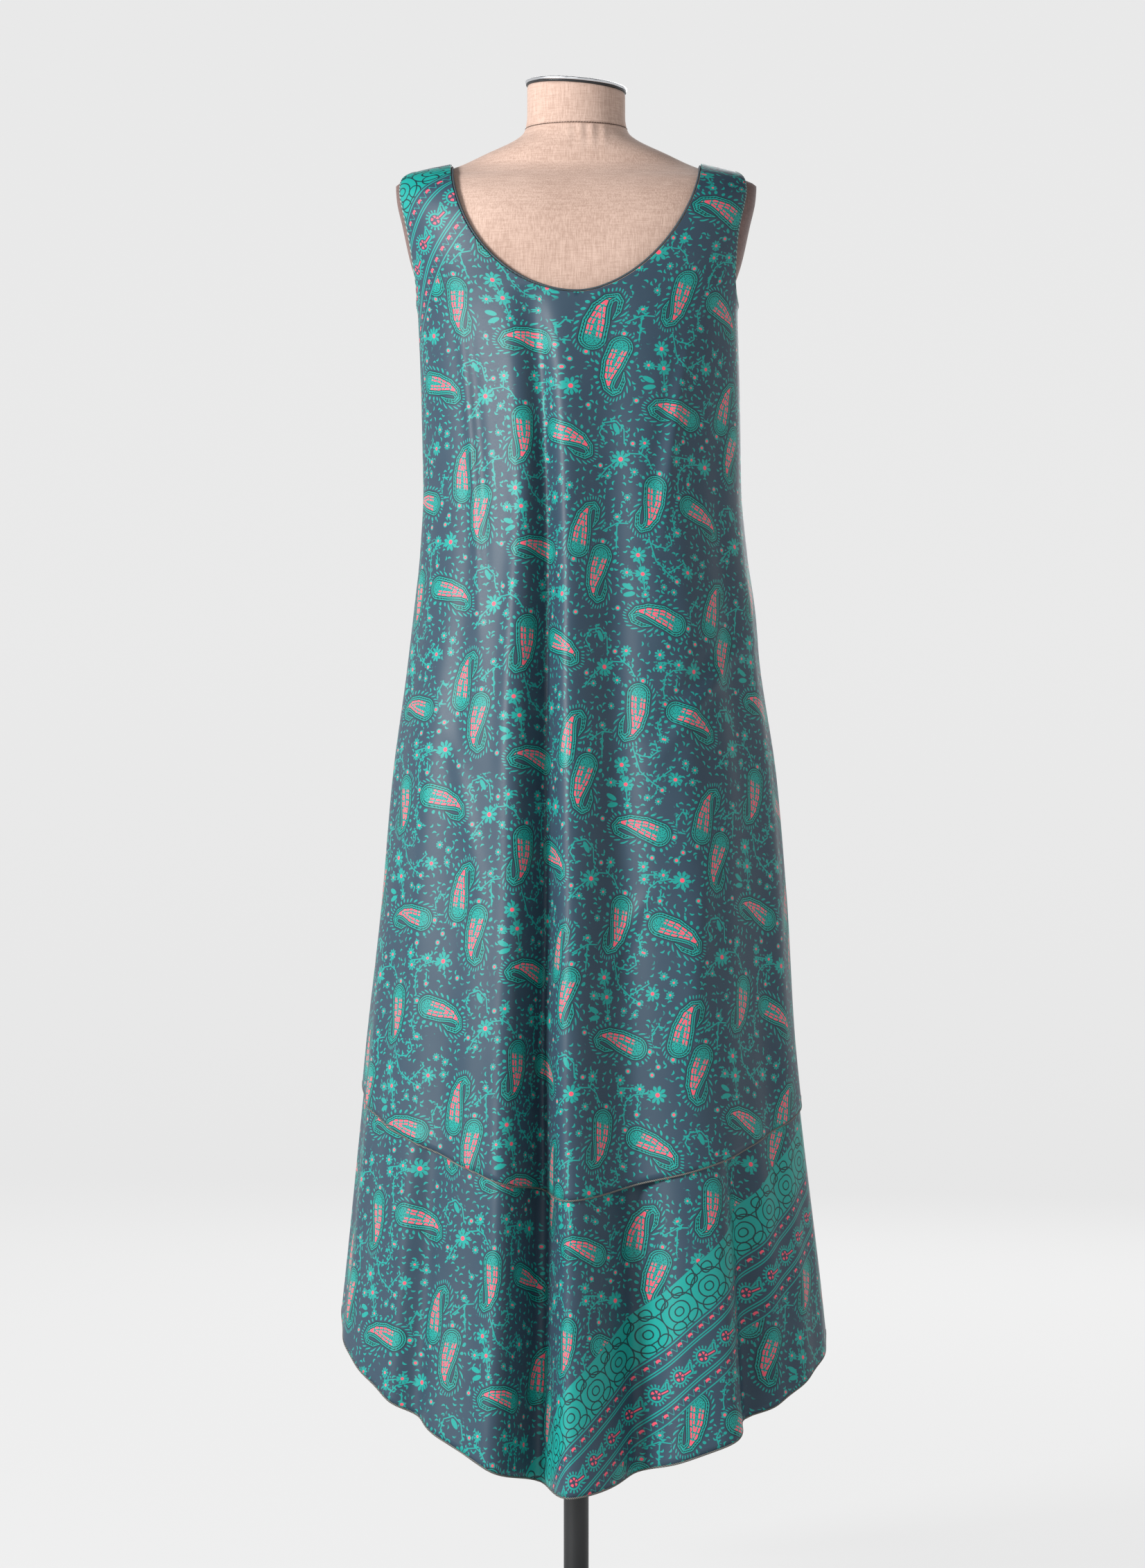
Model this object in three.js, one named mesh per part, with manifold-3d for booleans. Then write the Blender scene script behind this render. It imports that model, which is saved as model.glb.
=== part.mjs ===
// A sleeveless two-layer dress, cut on the bias, on a limbless dress form with a round-footed stand.
// Millimetres, +Z up, the foot's underside on z = 0 at the origin, the wearer's back towards -Y.

import * as THREE from 'three';
import { mergeVertices } from 'three/addons/utils/BufferGeometryUtils.js';
import Module from 'manifold-3d';

const wasm = await Module();
wasm.setup();

// ---- driving dimensions ---------------------------------------------------------------------

const GAP = 0.3;                 // clearance between neighbouring pieces
const CLOTH = 1.2;               // wall of each cloth panel
const LAYER_STEP = 2.6;          // outer layer to under layer, middle to middle
const SEAM_SHIFT = 0.2;          // half the space between the back and the front panels
const MITRE_LIMIT = 0.6;         // a wall is at most 1 / this thicker at a sharp bend

const STRAP_INNER = 1580;        // height of the strap's neck-side corner on the shoulder
const STRAP_OUTER = 1571;        // height of the strap's arm-side corner
const NECK_HALF_WIDTH = 135;     // centre line to the strap's neck-side corner
const UNDERARM = 1422;           // height of the armhole's lowest point
const FOLDS_START = 1436;        // the hanging folds fade in below this height

const NECK_SEAM = 1617;          // foot of the form's neck
const NECK_TOP = 1660;           // middle of the slanting neck top
const NECK_SLANT = 0.078;        // the neck top falls towards +X by this much per millimetre
const NECK_RADIUS = 53;
const NECK_SIDES = 40;
const CAP_THICK = 6.5;
const FORM_BOTTOM = 930;
const ARM_PLANE = 168;           // the arm caps start this far from the centre line

const FOOT_RADIUS = 160;
const FOOT_THICK = 12;
const BOSS_TOP = 46;
const POLE_RADIUS = 13.5;
const COLLAR_RADIUS = 22;
const COLLAR_HEIGHT = 34;

const FORM_SIDES = 44;
const STRAP_ROWS = [0.15, 0.3, 0.45, 0.6, 0.73, 0.84, 0.92, 0.975, 1];  // chest line to shoulder
const SKIRT_ROWS = 8;            // chest line to outer hem
const UNDER_ROWS_MORE = 4;       // outer hem to under hem

// Sections of the form: height, half width, depth to the back, depth to the front, squareness.
const FORM = [
  [FORM_BOTTOM, 132, 90, 86, 2.2],
  [944, 147, 100, 95, 2.2],
  [1000, 160, 107, 104, 2.2],
  [1060, 159, 105, 106, 2.2],
  [1150, 137, 92, 97, 2.1],
  [1225, 121, 84, 90, 2.1],
  [1310, 134, 90, 104, 2.1],
  [1380, 152, 98, 121, 2.2],
  [1430, 165, 101, 117, 2.35],
  [1472, 179, 102, 108, 2.5],
  [1510, 187.5, 98, 98, 2.5],
  [1540, 194, 86.5, 84.5, 2.35],
  [1555, 195, 75, 73, 2.0],
  [1561, 185, 69, 67, 1.85],
  [1566, 165, 64, 62, 1.75],
  [1575, 132, 58.5, 57.5, 1.75],
  [1590, 98, 57, 58, 1.9],
  [1605, 66, 54.5, 56, 2.0],
  [1612, 57.5, 53.7, 54.6, 2.0],
  [NECK_SEAM, 55, 53, 54, 2.0],
];

// Sections of the outer layer before its folds, in the same order; the last value is the swing
// of the section's middle towards +X.
const DRESS = [
  [120, 286, 224, 226, 2.1, 7],
  [347, 262, 209, 209, 2.1, 7],
  [617, 233, 192, 190, 2.1, 5],
  [797, 217.5, 182, 178, 2.1, 9],
  [917, 207, 172, 167, 2.1, 9],
  [1037, 190, 158, 154, 2.1, 8],
  [1097, 184, 150, 148, 2.1, 9],
  [1157, 176.5, 139, 142, 2.1, 8],
  [1232, 171.5, 127, 138, 2.1, 6.5],
  [1337, 172, 116, 137, 2.15, 4.5],
  [1412, 172.5, 109, 129, 2.3, 2],
  [1432, 175, 108.5, 125, 2.35, 1.3],
  [1473, 184, 107.5, 114, 2.5, 0.5],
  [1512, 192.5, 103, 103, 2.5, 0],
  [1542, 199.5, 93, 91, 2.35, 0],
  [1558, 201, 81.5, 79.5, 2.0, 0],
  [1565, 192, 76, 74, 1.85, 0],
  [STRAP_OUTER, 171, 70, 68, 1.78, 0],
  [STRAP_INNER, NECK_HALF_WIDTH, 64, 63, 1.75, 0],
];

// Folds of a panel. `at` is where a fold runs, from -1 at the left seam over 0 at the middle to
// 1 at the right seam, at the chest and at the hem; `wide` is its half width on that scale,
// `out` how far it stands out at the hem (negative: a valley) and `lean` its sideways tilt.
const BACK_FOLDS = [
  { at: [-0.24, -0.2], wide: 0.06, out: 11, lean: 0 },
  { at: [-0.155, -0.108], wide: 0.053, out: -50, lean: 0 },
  { at: [-0.06, -0.028], wide: 0.06, out: 18, lean: -4 },
  { at: [0.1, 0.13], wide: 0.075, out: -19, lean: 0 },
  { at: [0.33, 0.36], wide: 0.1, out: 11, lean: 0 },
  { at: [-0.5, -0.44], wide: 0.09, out: -7, lean: 0 },
  { at: [0.66, 0.6], wide: 0.1, out: -8, lean: 0 },
];
const FRONT_FOLDS = [
  { at: [-0.42, -0.4], wide: 0.09, out: 12, lean: 0 },
  { at: [-0.2, -0.2], wide: 0.07, out: -24, lean: 0 },
  { at: [0.02, 0.1], wide: 0.09, out: 14, lean: 0 },
  { at: [0.28, 0.34], wide: 0.06, out: -28, lean: 0 },
  { at: [0.48, 0.52], wide: 0.09, out: 12, lean: 0 },
];
// Valleys that only the under layer has, below the outer hem.
const UNDER_BACK_FOLDS = [
  { at: [0.14, 0.14], wide: 0.05, out: -22, lean: 0 },
  { at: [0.47, 0.47], wide: 0.06, out: -30, lean: 0 },
  { at: [-0.47, -0.47], wide: 0.045, out: -14, lean: 0 },
];
const UNDER_FRONT_FOLDS = [
  { at: [-0.55, -0.6], wide: 0.06, out: -18, lean: 0 },
];
const UNDER_FOLDS_START = 640;

// Hem heights: the lowest point, where it lies, the two side seams, and how straight it climbs.
const HEMS = {
  outerBack: { at: -0.03, low: 480, left: 590, right: 574, power: 0.95 },
  outerFront: { at: 0.08, low: 466, left: 590, right: 574, power: 1.05 },
  underBack: { at: -0.03, low: 176, left: 348, right: 322, power: 0.97 },
  underFront: { at: 0.12, low: 138, left: 348, right: 322, power: 1.02 },
};

// Columns of the back and front panels, closest together where the deep fold runs.
const BACK_COLUMNS = [
  -1, -0.92, -0.82, -0.7, -0.56, -0.43, -0.32, -0.245, -0.195, -0.16, -0.135, -0.115, -0.095, -0.075,
  -0.05, -0.025, 0, 0.05, 0.1, 0.15, 0.21, 0.29, 0.37, 0.44, 0.5, 0.6, 0.71, 0.82, 0.92, 1,
];
const FRONT_COLUMNS = [
  -1, -0.93, -0.84, -0.72, -0.6, -0.49, -0.39, -0.3, -0.24, -0.18, -0.12, -0.06, 0,
  0.06, 0.13, 0.2, 0.26, 0.32, 0.37, 0.43, 0.51, 0.61, 0.73, 0.84, 0.93, 1,
];

const COLOURS = {
  print: { color: 0x3f6f78, roughness: 0.45, metalness: 0 },
  binding: { color: 0x394650, roughness: 0.6, metalness: 0 },
  canvas: { color: 0xcdb197, roughness: 0.9, metalness: 0 },
  velvet: { color: 0x7a5a55, roughness: 0.95, metalness: 0 },
  chrome: { color: 0xb9bcc0, roughness: 0.2, metalness: 1 },
  steel: { color: 0x1b1d20, roughness: 0.45, metalness: 0.4 },
};

// ---- small helpers --------------------------------------------------------------------------

const mix = (a, b, t) => a + (b - a) * t;
const clamp01 = (t) => Math.min(1, Math.max(0, t));

// Smooth value of each column of a table of rows [height, ...], with no overshoot between rows.
function sectionAt(table, z) {
  const height = Math.min(Math.max(z, table[0][0]), table.at(-1)[0]);
  let i = 0;
  while (i < table.length - 2 && table[i + 1][0] < height) i += 1;
  const step = table[i + 1][0] - table[i][0];
  const t = (height - table[i][0]) / step;
  return table[i].slice(1).map((start, k) => {
    const end = table[i + 1][k + 1];
    const slope = (end - start) / step;
    const before = i > 0 ? (start - table[i - 1][k + 1]) / (table[i][0] - table[i - 1][0]) : slope;
    const after = i < table.length - 2
      ? (table[i + 2][k + 1] - end) / (table[i + 2][0] - table[i + 1][0]) : slope;
    const m0 = before * slope > 0 ? (2 * before * slope) / (before + slope) : 0;
    const m1 = after * slope > 0 ? (2 * after * slope) / (after + slope) : 0;
    const t2 = t * t;
    const t3 = t2 * t;
    return (2 * t3 - 3 * t2 + 1) * start + (t3 - 2 * t2 + t) * step * m0
      + (3 * t2 - 2 * t3) * end + (t3 - t2) * step * m1;
  });
}

// Point of a rounded section: `turn` is 0 at the middle of the back or front, -1 and 1 at the sides.
function aroundSection(turn, halfWidth, depth, squareness) {
  const angle = turn * Math.PI / 2;
  const power = 2 / squareness;
  const x = halfWidth * Math.sign(angle) * Math.abs(Math.sin(angle)) ** power;
  const y = depth * Math.max(0, Math.cos(angle)) ** power;
  return [x, y];
}

// One closed body from corner points and the faces (each a list of corner numbers) between them.
function bodyOf(points, faces) {
  const geometry = new THREE.BufferGeometry();
  geometry.setAttribute('position', new THREE.Float32BufferAttribute(points.flat(), 3));
  const triangles = [];
  for (const face of faces) {
    for (let i = 1; i < face.length - 1; i += 1) triangles.push(face[0], face[i], face[i + 1]);
  }
  geometry.setIndex(triangles);
  return geometry;
}

// A stack of rings with the same number of points each, closed with a fan at both ends.
function loft(rings) {
  const sides = rings[0].length;
  const faces = [];
  for (let r = 0; r < rings.length - 1; r += 1) {
    for (let i = 0; i < sides; i += 1) {
      const j = (i + 1) % sides;
      faces.push([r * sides + i, r * sides + j, (r + 1) * sides + j, (r + 1) * sides + i]);
    }
  }
  const ring = [...Array(sides).keys()];
  faces.push(ring.toReversed(), ring.map((i) => (rings.length - 1) * sides + i));
  return bodyOf(rings.flat(), faces);
}

function toManifold(geometry) {
  const bare = geometry.clone();
  bare.deleteAttribute('normal');
  bare.deleteAttribute('uv');
  const merged = mergeVertices(bare, 1e-4);
  return new wasm.Manifold(new wasm.Mesh({
    numProp: 3,
    vertProperties: new Float32Array(merged.attributes.position.array),
    triVerts: new Uint32Array(merged.index.array),
  }));
}

function fromManifold(solid) {
  const { vertProperties, triVerts } = solid.getMesh();
  const geometry = new THREE.BufferGeometry();
  geometry.setAttribute('position', new THREE.Float32BufferAttribute(vertProperties, 3));
  geometry.setIndex([...triVerts]);
  return geometry;
}

const part = new THREE.Group();
function add(name, geometry, colour) {
  const mesh = new THREE.Mesh(geometry, new THREE.MeshStandardMaterial(COLOURS[colour]));
  mesh.name = name;
  part.add(mesh);
}

// ---- the dress form -------------------------------------------------------------------------

function formRing(z) {
  const [halfWidth, back, front, squareness] = sectionAt(FORM, z);
  return [...Array(FORM_SIDES).keys()].map((i) => {
    const quarter = (i * 4) / FORM_SIDES;             // 0 to 2 over the back, 2 to 4 over the front
    const overBack = quarter < 2;
    const turn = overBack ? quarter - 1 : 3 - quarter;
    const [x, y] = aroundSection(turn, halfWidth, overBack ? back : front, squareness);
    return [x, overBack ? -y : y, z];
  });
}

function addForm() {
  const heights = FORM.flatMap(([z], i) => (
    i > 0 && z - FORM[i - 1][0] > 40 ? [(z + FORM[i - 1][0]) / 2, z] : [z]));
  const torso = toManifold(loft(heights.map(formRing)));
  const beyond = (side, start) => {
    const box = new THREE.BoxGeometry(200, 400, 400);
    box.translate(side * (start + 100), 0, 1500);
    return toManifold(box);
  };
  const body = torso.subtract(beyond(-1, ARM_PLANE)).subtract(beyond(1, ARM_PLANE));
  add('form_torso', fromManifold(body), 'canvas');
  add('form_arm_cap_left', fromManifold(torso.intersect(beyond(-1, ARM_PLANE + GAP))), 'velvet');
  add('form_arm_cap_right', fromManifold(torso.intersect(beyond(1, ARM_PLANE + GAP))), 'velvet');

  const circle = (radius, height) => [...Array(NECK_SIDES).keys()].map((i) => {
    const angle = (i * 2 * Math.PI) / NECK_SIDES;
    const x = radius * Math.cos(angle);
    return [x, radius * Math.sin(angle), height(x)];
  });
  const slanted = (height) => (x) => height - NECK_SLANT * x;
  add('form_neck', loft([
    circle(NECK_RADIUS + 1.5, () => NECK_SEAM + GAP),
    circle(NECK_RADIUS, () => NECK_SEAM + 10),
    circle(NECK_RADIUS, slanted(NECK_TOP)),
  ]), 'canvas');
  const capFoot = NECK_TOP + GAP;
  add('form_neck_cap', loft([
    circle(NECK_RADIUS + 1, slanted(capFoot)),
    circle(NECK_RADIUS + 2, slanted(capFoot + 1)),
    circle(NECK_RADIUS + 2, slanted(capFoot + CAP_THICK - 2)),
    circle(NECK_RADIUS, slanted(capFoot + CAP_THICK)),
  ]), 'chrome');
}

function turned(profile, sides) {
  const geometry = new THREE.LatheGeometry(profile.map(([r, z]) => new THREE.Vector2(r, z)), sides);
  geometry.rotateX(Math.PI / 2);
  return geometry;
}

function addStand() {
  add('stand_foot', turned([
    [0, 0], [FOOT_RADIUS - 2, 0], [FOOT_RADIUS, 2], [FOOT_RADIUS, FOOT_THICK - 3],
    [FOOT_RADIUS - 3, FOOT_THICK], [40, FOOT_THICK + 3], [26, FOOT_THICK + 10],
    [22, BOSS_TOP - 2], [20, BOSS_TOP], [0, BOSS_TOP],
  ], 48), 'steel');
  const poleTop = FORM_BOTTOM - GAP;
  add('stand_pole', turned([
    [0, BOSS_TOP + GAP], [POLE_RADIUS, BOSS_TOP + GAP], [POLE_RADIUS, poleTop], [0, poleTop],
  ], 28), 'steel');
  const inner = POLE_RADIUS + GAP;
  const collarFoot = poleTop - COLLAR_HEIGHT;
  add('stand_collar', turned([
    [inner, collarFoot], [COLLAR_RADIUS - 2, collarFoot], [COLLAR_RADIUS, collarFoot + 2],
    [COLLAR_RADIUS, poleTop], [inner, poleTop], [inner, collarFoot],
  ], 28), 'steel');
}

// ---- the dress ------------------------------------------------------------------------------

// How far out a set of folds pushes the cloth, and how far sideways, at a place on a panel.
function foldShift(folds, turn, z, start, bottom) {
  const down = clamp01((start - z) / (start - bottom));
  let out = 0;
  let lean = 0;
  for (const fold of folds) {
    const off = (turn - mix(fold.at[0], fold.at[1], down)) / fold.wide;
    const bump = Math.exp(-off * off) * down ** 0.62;
    out += fold.out * bump;
    lean += fold.lean * bump;
  }
  return [out, lean];
}

function hemHeight(hem, turn) {
  const end = turn < hem.at ? -1 : 1;
  const away = (turn - hem.at) / (end - hem.at);
  const rounded = (Math.sqrt(away * away + 0.0036) - 0.06) / (Math.sqrt(1.0036) - 0.06);
  return mix(hem.low, end < 0 ? hem.left : hem.right, rounded ** hem.power);
}

// The surface that both layers of a back or a front panel follow: the outer layer's middle.
class Drape {
  constructor({ facing, folds, underFolds, outerHem, underHem, columns, scoop, reach, rounding }) {
    Object.assign(this, { facing, folds, underFolds, outerHem, underHem, columns });
    Object.assign(this, { scoop, reach, rounding });
  }

  depthAt(z) {
    return sectionAt(DRESS, z)[this.facing < 0 ? 1 : 2];
  }

  plain(turn, z) {
    const [halfWidth, , , squareness, swing] = sectionAt(DRESS, z);
    const [x, y] = aroundSection(turn, halfWidth, this.depthAt(z), squareness);
    return new THREE.Vector2(x + swing, this.facing * y);
  }

  // The cloth at a turn and a height; the under layer has valleys of its own near its hem.
  point(turn, z, isUnder) {
    const here = this.plain(turn, z);
    const ahead = this.plain(Math.min(1, turn + 0.01), z);
    const along = ahead.sub(this.plain(Math.max(-1, turn - 0.01), z)).normalize();
    const outward = new THREE.Vector2(-this.facing * along.y, this.facing * along.x);
    const nearSeam = clamp01((1 - Math.abs(turn)) * 6);
    const [out, lean] = foldShift(this.folds, turn, z, FOLDS_START, this.outerHem.low);
    const [more] = isUnder
      ? foldShift(this.underFolds, turn, z, UNDER_FOLDS_START, this.underHem.low) : [0];
    here.addScaledVector(outward, (out + more) * nearSeam).addScaledVector(along, lean * nearSeam);
    return [here.x, here.y + this.facing * SEAM_SHIFT, z];
  }

  // The neckline from its lowest point (0) to the shoulder (1), as a turn and a height.
  neckline(side, t) {
    const power = 2 / this.rounding[side < 0 ? 0 : 1];
    const angle = t * Math.PI / 2;
    const x = NECK_HALF_WIDTH * Math.sin(angle) ** power;
    const z = STRAP_INNER - this.scoop * Math.max(0, Math.cos(angle)) ** power;
    const [halfWidth, , , squareness] = sectionAt(DRESS, z);
    const turn = Math.asin(Math.min(1, (x / halfWidth) ** (squareness / 2))) * 2 / Math.PI;
    return [side * turn, z];
  }

  // The armhole from the underarm (0) to the shoulder (1).
  armhole(side, t) {
    const z = mix(UNDERARM, STRAP_OUTER, (1 - Math.cos(t * Math.PI)) / 2);
    const y = this.reach[side < 0 ? 0 : 1] * Math.max(0, Math.sin(t * Math.PI)) ** 0.8;
    const squareness = sectionAt(DRESS, z)[3];
    const turn = Math.acos(Math.min(1, (y / this.depthAt(z)) ** (squareness / 2))) * 2 / Math.PI;
    return [side * turn, z];
  }

  // A place on the strap part: `t` up from the chest line, `column` from the neckline outwards.
  strapPlace(column, t) {
    const side = Math.sign(column);
    const ofSide = this.columns.filter((c) => c * side >= 0).map(Math.abs).sort((a, b) => a - b);
    const even = ofSide.indexOf(Math.abs(column)) / (ofSide.length - 1);
    const across = mix(Math.abs(column), even, t);
    const [turn0, z0] = this.neckline(side, t);
    const [turn1, z1] = this.armhole(side, t);
    return [mix(turn0, turn1, across), mix(z0, z1, across)];
  }

  // A place below the chest line: `row` counts the shared rows, then the under layer's own.
  skirtPlace(column, row) {
    const chest = mix(STRAP_INNER - this.scoop, UNDERARM, Math.abs(column));
    const outer = hemHeight(this.outerHem, column);
    if (row <= SKIRT_ROWS) {
      return [column, mix(chest, outer, (row / SKIRT_ROWS) ** 1.12)];
    }
    const under = hemHeight(this.underHem, column);
    return [column, mix(outer, under, (row - SKIRT_ROWS) / UNDER_ROWS_MORE)];
  }

  // The surface of one layer as points, faces, and the corner numbers of its seams and edges.
  surface(isUnder) {
    const { columns } = this;
    const centre = columns.indexOf(0);
    const rows = SKIRT_ROWS + (isUnder ? UNDER_ROWS_MORE : 0);
    const points = [];
    const faces = [];
    const quad = (a, b, c, d) => faces.push(this.facing < 0 ? [a, b, c, d] : [d, c, b, a]);
    const skirt = (row, column) => row * columns.length + column;
    for (let row = 0; row <= rows; row += 1) {
      for (const column of columns) {
        points.push(this.point(...this.skirtPlace(column, row), isUnder));
      }
    }
    for (let row = 0; row < rows; row += 1) {
      for (let c = 0; c < columns.length - 1; c += 1) {
        quad(skirt(row + 1, c), skirt(row + 1, c + 1), skirt(row, c + 1), skirt(row, c));
      }
    }
    const halves = [-1, 1].map((side) => {
      const ofSide = columns.map((_, c) => c).filter((c) => (c - centre) * side >= 0);
      let below = ofSide.map((c) => skirt(0, c));
      const lines = [below];
      for (const t of STRAP_ROWS) {
        const line = ofSide.map((c) => {
          const column = columns[c] === 0 ? side * Number.EPSILON : columns[c];
          points.push(this.point(...this.strapPlace(column, t), isUnder));
          return points.length - 1;
        });
        for (let i = 0; i < line.length - 1; i += 1) {
          quad(below[i], below[i + 1], line[i + 1], line[i]);
        }
        below = line;
        lines.push(line);
      }
      return lines;
    });
    const [left, right] = halves;
    const sideSeams = [...Array(rows + 1).keys()]
      .flatMap((row) => [skirt(row, 0), skirt(row, columns.length - 1)]);
    return {
      points,
      faces,
      seams: new Set([...sideSeams, ...left.at(-1), ...right.at(-1)]),
      neck: [...left.map((line) => line.at(-1)).toReversed(), ...right.slice(1).map((l) => l[0])],
      armholes: [left.map((line) => line[0]), right.map((line) => line.at(-1))],
    };
  }
}

// Outward direction at each corner of a surface, lengthened where the cloth bends sharply so that
// a wall keeps its thickness; at a seam it lies in the seam's plane.
function cornerNormals({ points, faces, seams }) {
  const normals = points.map(() => new THREE.Vector3());
  const corner = (i) => new THREE.Vector3(...points[i]);
  const flat = faces.map((face) => {
    const across = corner(face[2]).sub(corner(face[0]));
    return across.cross(corner(face[3]).sub(corner(face[1]))).normalize();
  });
  faces.forEach((face, f) => face.forEach((i) => normals[i].add(flat[f])));
  seams.forEach((i) => normals[i].setY(0));
  normals.forEach((normal) => normal.normalize());
  const steepest = points.map(() => 1);
  faces.forEach((face, f) => face.forEach((i) => {
    steepest[i] = Math.min(steepest[i], Math.max(flat[f].dot(normals[i]), MITRE_LIMIT));
  }));
  return normals.map((normal, i) => normal.divideScalar(steepest[i]));
}

function moved(points, normals, distance) {
  return points.map((point, i) => new THREE.Vector3(...point)
    .addScaledVector(normals[i], distance).toArray());
}

// A panel of cloth: its surface given a wall between two distances from the shared surface.
function clothWall(surface, inside, outside) {
  const normals = cornerNormals(surface);
  const count = surface.points.length;
  const sides = new Map();
  for (const face of surface.faces) {
    face.forEach((from, i) => {
      const to = face[(i + 1) % face.length];
      if (!sides.delete(`${to},${from}`)) sides.set(`${from},${to}`, [from, to]);
    });
  }
  const faces = [
    ...surface.faces,
    ...surface.faces.map(([a, b, c, d]) => [a + count, d + count, c + count, b + count]),
    ...[...sides.values()].map(([from, to]) => [to, from, from + count, to + count]),
  ];
  const outer = moved(surface.points, normals, outside);
  return bodyOf([...outer, ...moved(surface.points, normals, inside)], faces);
}

// A narrow binding past the edge of both layers, along a closed run of edge points. Each entry
// has the edge point, the way out of the cloth along its surface, and the surface's normal.
function bindingLoop(entries, width, thickness, middle) {
  const rings = entries.map(({ point, away, normal }) => {
    const corner = (out, up) => point.clone()
      .addScaledVector(away, GAP + out).addScaledVector(normal, middle + up).toArray();
    const half = thickness / 2;
    return [corner(0, -half), corner(width, -half), corner(width, half), corner(0, half)];
  });
  const faces = [];
  rings.forEach((_, r) => {
    const next = (r + 1) % rings.length;
    for (let i = 0; i < 4; i += 1) {
      const j = (i + 1) % 4;
      faces.push([r * 4 + j, next * 4 + j, next * 4 + i, r * 4 + i]);
    }
  });
  return bodyOf(rings.flat(), faces);
}

// The run of an edge with its directions; the shoulder ends are left to the neighbouring panel.
function edgeEntries(surface, edge) {
  const normals = cornerNormals(surface);
  const corner = (i) => new THREE.Vector3(...surface.points[i]);
  const middle = edge[edge.length >> 1];
  const cell = surface.faces.find((face) => face.includes(middle));
  const inward = cell.reduce((sum, i) => sum.add(corner(i)), new THREE.Vector3())
    .divideScalar(cell.length).sub(corner(middle));
  const entries = edge.map((i, k) => {
    const before = corner(edge[Math.max(0, k - 1)]);
    const along = corner(edge[Math.min(edge.length - 1, k + 1)]).sub(before);
    const away = along.cross(normals[i]);
    if (surface.seams.has(i)) away.setY(0);
    return { point: corner(i), away: away.normalize(), normal: normals[i].clone().normalize() };
  });
  if (entries[edge.length >> 1].away.dot(inward) > 0) entries.forEach((e) => e.away.negate());
  return entries;
}

function addDress() {
  const back = new Drape({
    facing: -1,
    folds: BACK_FOLDS,
    underFolds: UNDER_BACK_FOLDS,
    outerHem: HEMS.outerBack,
    underHem: HEMS.underBack,
    columns: BACK_COLUMNS,
    scoop: 151,
    reach: [46, 57],
    rounding: [2, 1.75],
  });
  const front = new Drape({
    facing: 1,
    folds: FRONT_FOLDS,
    underFolds: UNDER_FRONT_FOLDS,
    outerHem: HEMS.outerFront,
    underHem: HEMS.underFront,
    columns: FRONT_COLUMNS,
    scoop: 172,
    reach: [54, 54],
    rounding: [2, 2],
  });
  const half = CLOTH / 2;
  for (const [name, drape] of [['back', back], ['front', front]]) {
    add(`dress_outer_${name}`, clothWall(drape.surface(false), -half, half), 'print');
    const under = drape.surface(true);
    add(`dress_under_${name}`, clothWall(under, -LAYER_STEP - half, -LAYER_STEP + half), 'print');
  }

  const [backCloth, frontCloth] = [back.surface(false), front.surface(false)];
  const loop = (ahead, behind) => [...ahead, ...behind.slice(1, -1).toReversed()];
  const bothLayers = LAYER_STEP + CLOTH + 0.4;
  const bind = (name, entries) => {
    add(name, bindingLoop(entries, 2.4, bothLayers, -LAYER_STEP / 2), 'binding');
  };
  const edgesOf = (cloth) => [cloth.neck, ...cloth.armholes].map((e) => edgeEntries(cloth, e));
  const [backNeck, backLeft, backRight] = edgesOf(backCloth);
  const [frontNeck, frontLeft, frontRight] = edgesOf(frontCloth);
  bind('dress_neck_binding', loop(backNeck, frontNeck));
  bind('dress_armhole_binding_left', loop(backLeft, frontLeft));
  bind('dress_armhole_binding_right', loop(frontRight, backRight));
}

addForm();
addStand();
addDress();

export default part;
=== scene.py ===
"""A sleeveless two-layer dress of printed silk on a canvas dress form: shapes, finishes, light and camera.

Lengths are in millimetres until a mesh is made, heights are above the floor, and the wearer's back
faces -Y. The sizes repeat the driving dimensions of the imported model.
"""

import logging
import math
from dataclasses import dataclass, field
from enum import Enum
from typing import Any, Iterable, Sequence

import bmesh
import bpy
import numpy as np
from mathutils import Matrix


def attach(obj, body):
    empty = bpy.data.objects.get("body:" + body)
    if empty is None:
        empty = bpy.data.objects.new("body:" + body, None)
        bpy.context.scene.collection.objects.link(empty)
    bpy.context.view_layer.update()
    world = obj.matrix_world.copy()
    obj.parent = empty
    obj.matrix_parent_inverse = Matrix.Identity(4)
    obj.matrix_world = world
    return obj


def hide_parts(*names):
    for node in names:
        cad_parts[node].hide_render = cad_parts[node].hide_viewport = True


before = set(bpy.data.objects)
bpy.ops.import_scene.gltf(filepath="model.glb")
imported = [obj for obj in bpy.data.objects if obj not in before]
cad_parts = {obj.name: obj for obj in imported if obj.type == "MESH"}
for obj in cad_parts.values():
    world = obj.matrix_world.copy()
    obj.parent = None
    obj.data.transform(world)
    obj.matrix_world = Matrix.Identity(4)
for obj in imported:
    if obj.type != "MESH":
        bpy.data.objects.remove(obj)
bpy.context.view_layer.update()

LOG = logging.getLogger("dress")
MM = 0.001
FAR = 99.0
AXIS = 0.2  # the innermost ring of a turned body, in place of a point
Point2 = tuple[float, float]
Curve = Sequence[Point2]


# ---- small numeric helpers ---------------------------------------------------------------------


def mix(a: Any, b: Any, t: Any) -> Any:
    """Value a share t of the way from a to b."""
    return a + (b - a) * t


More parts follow.
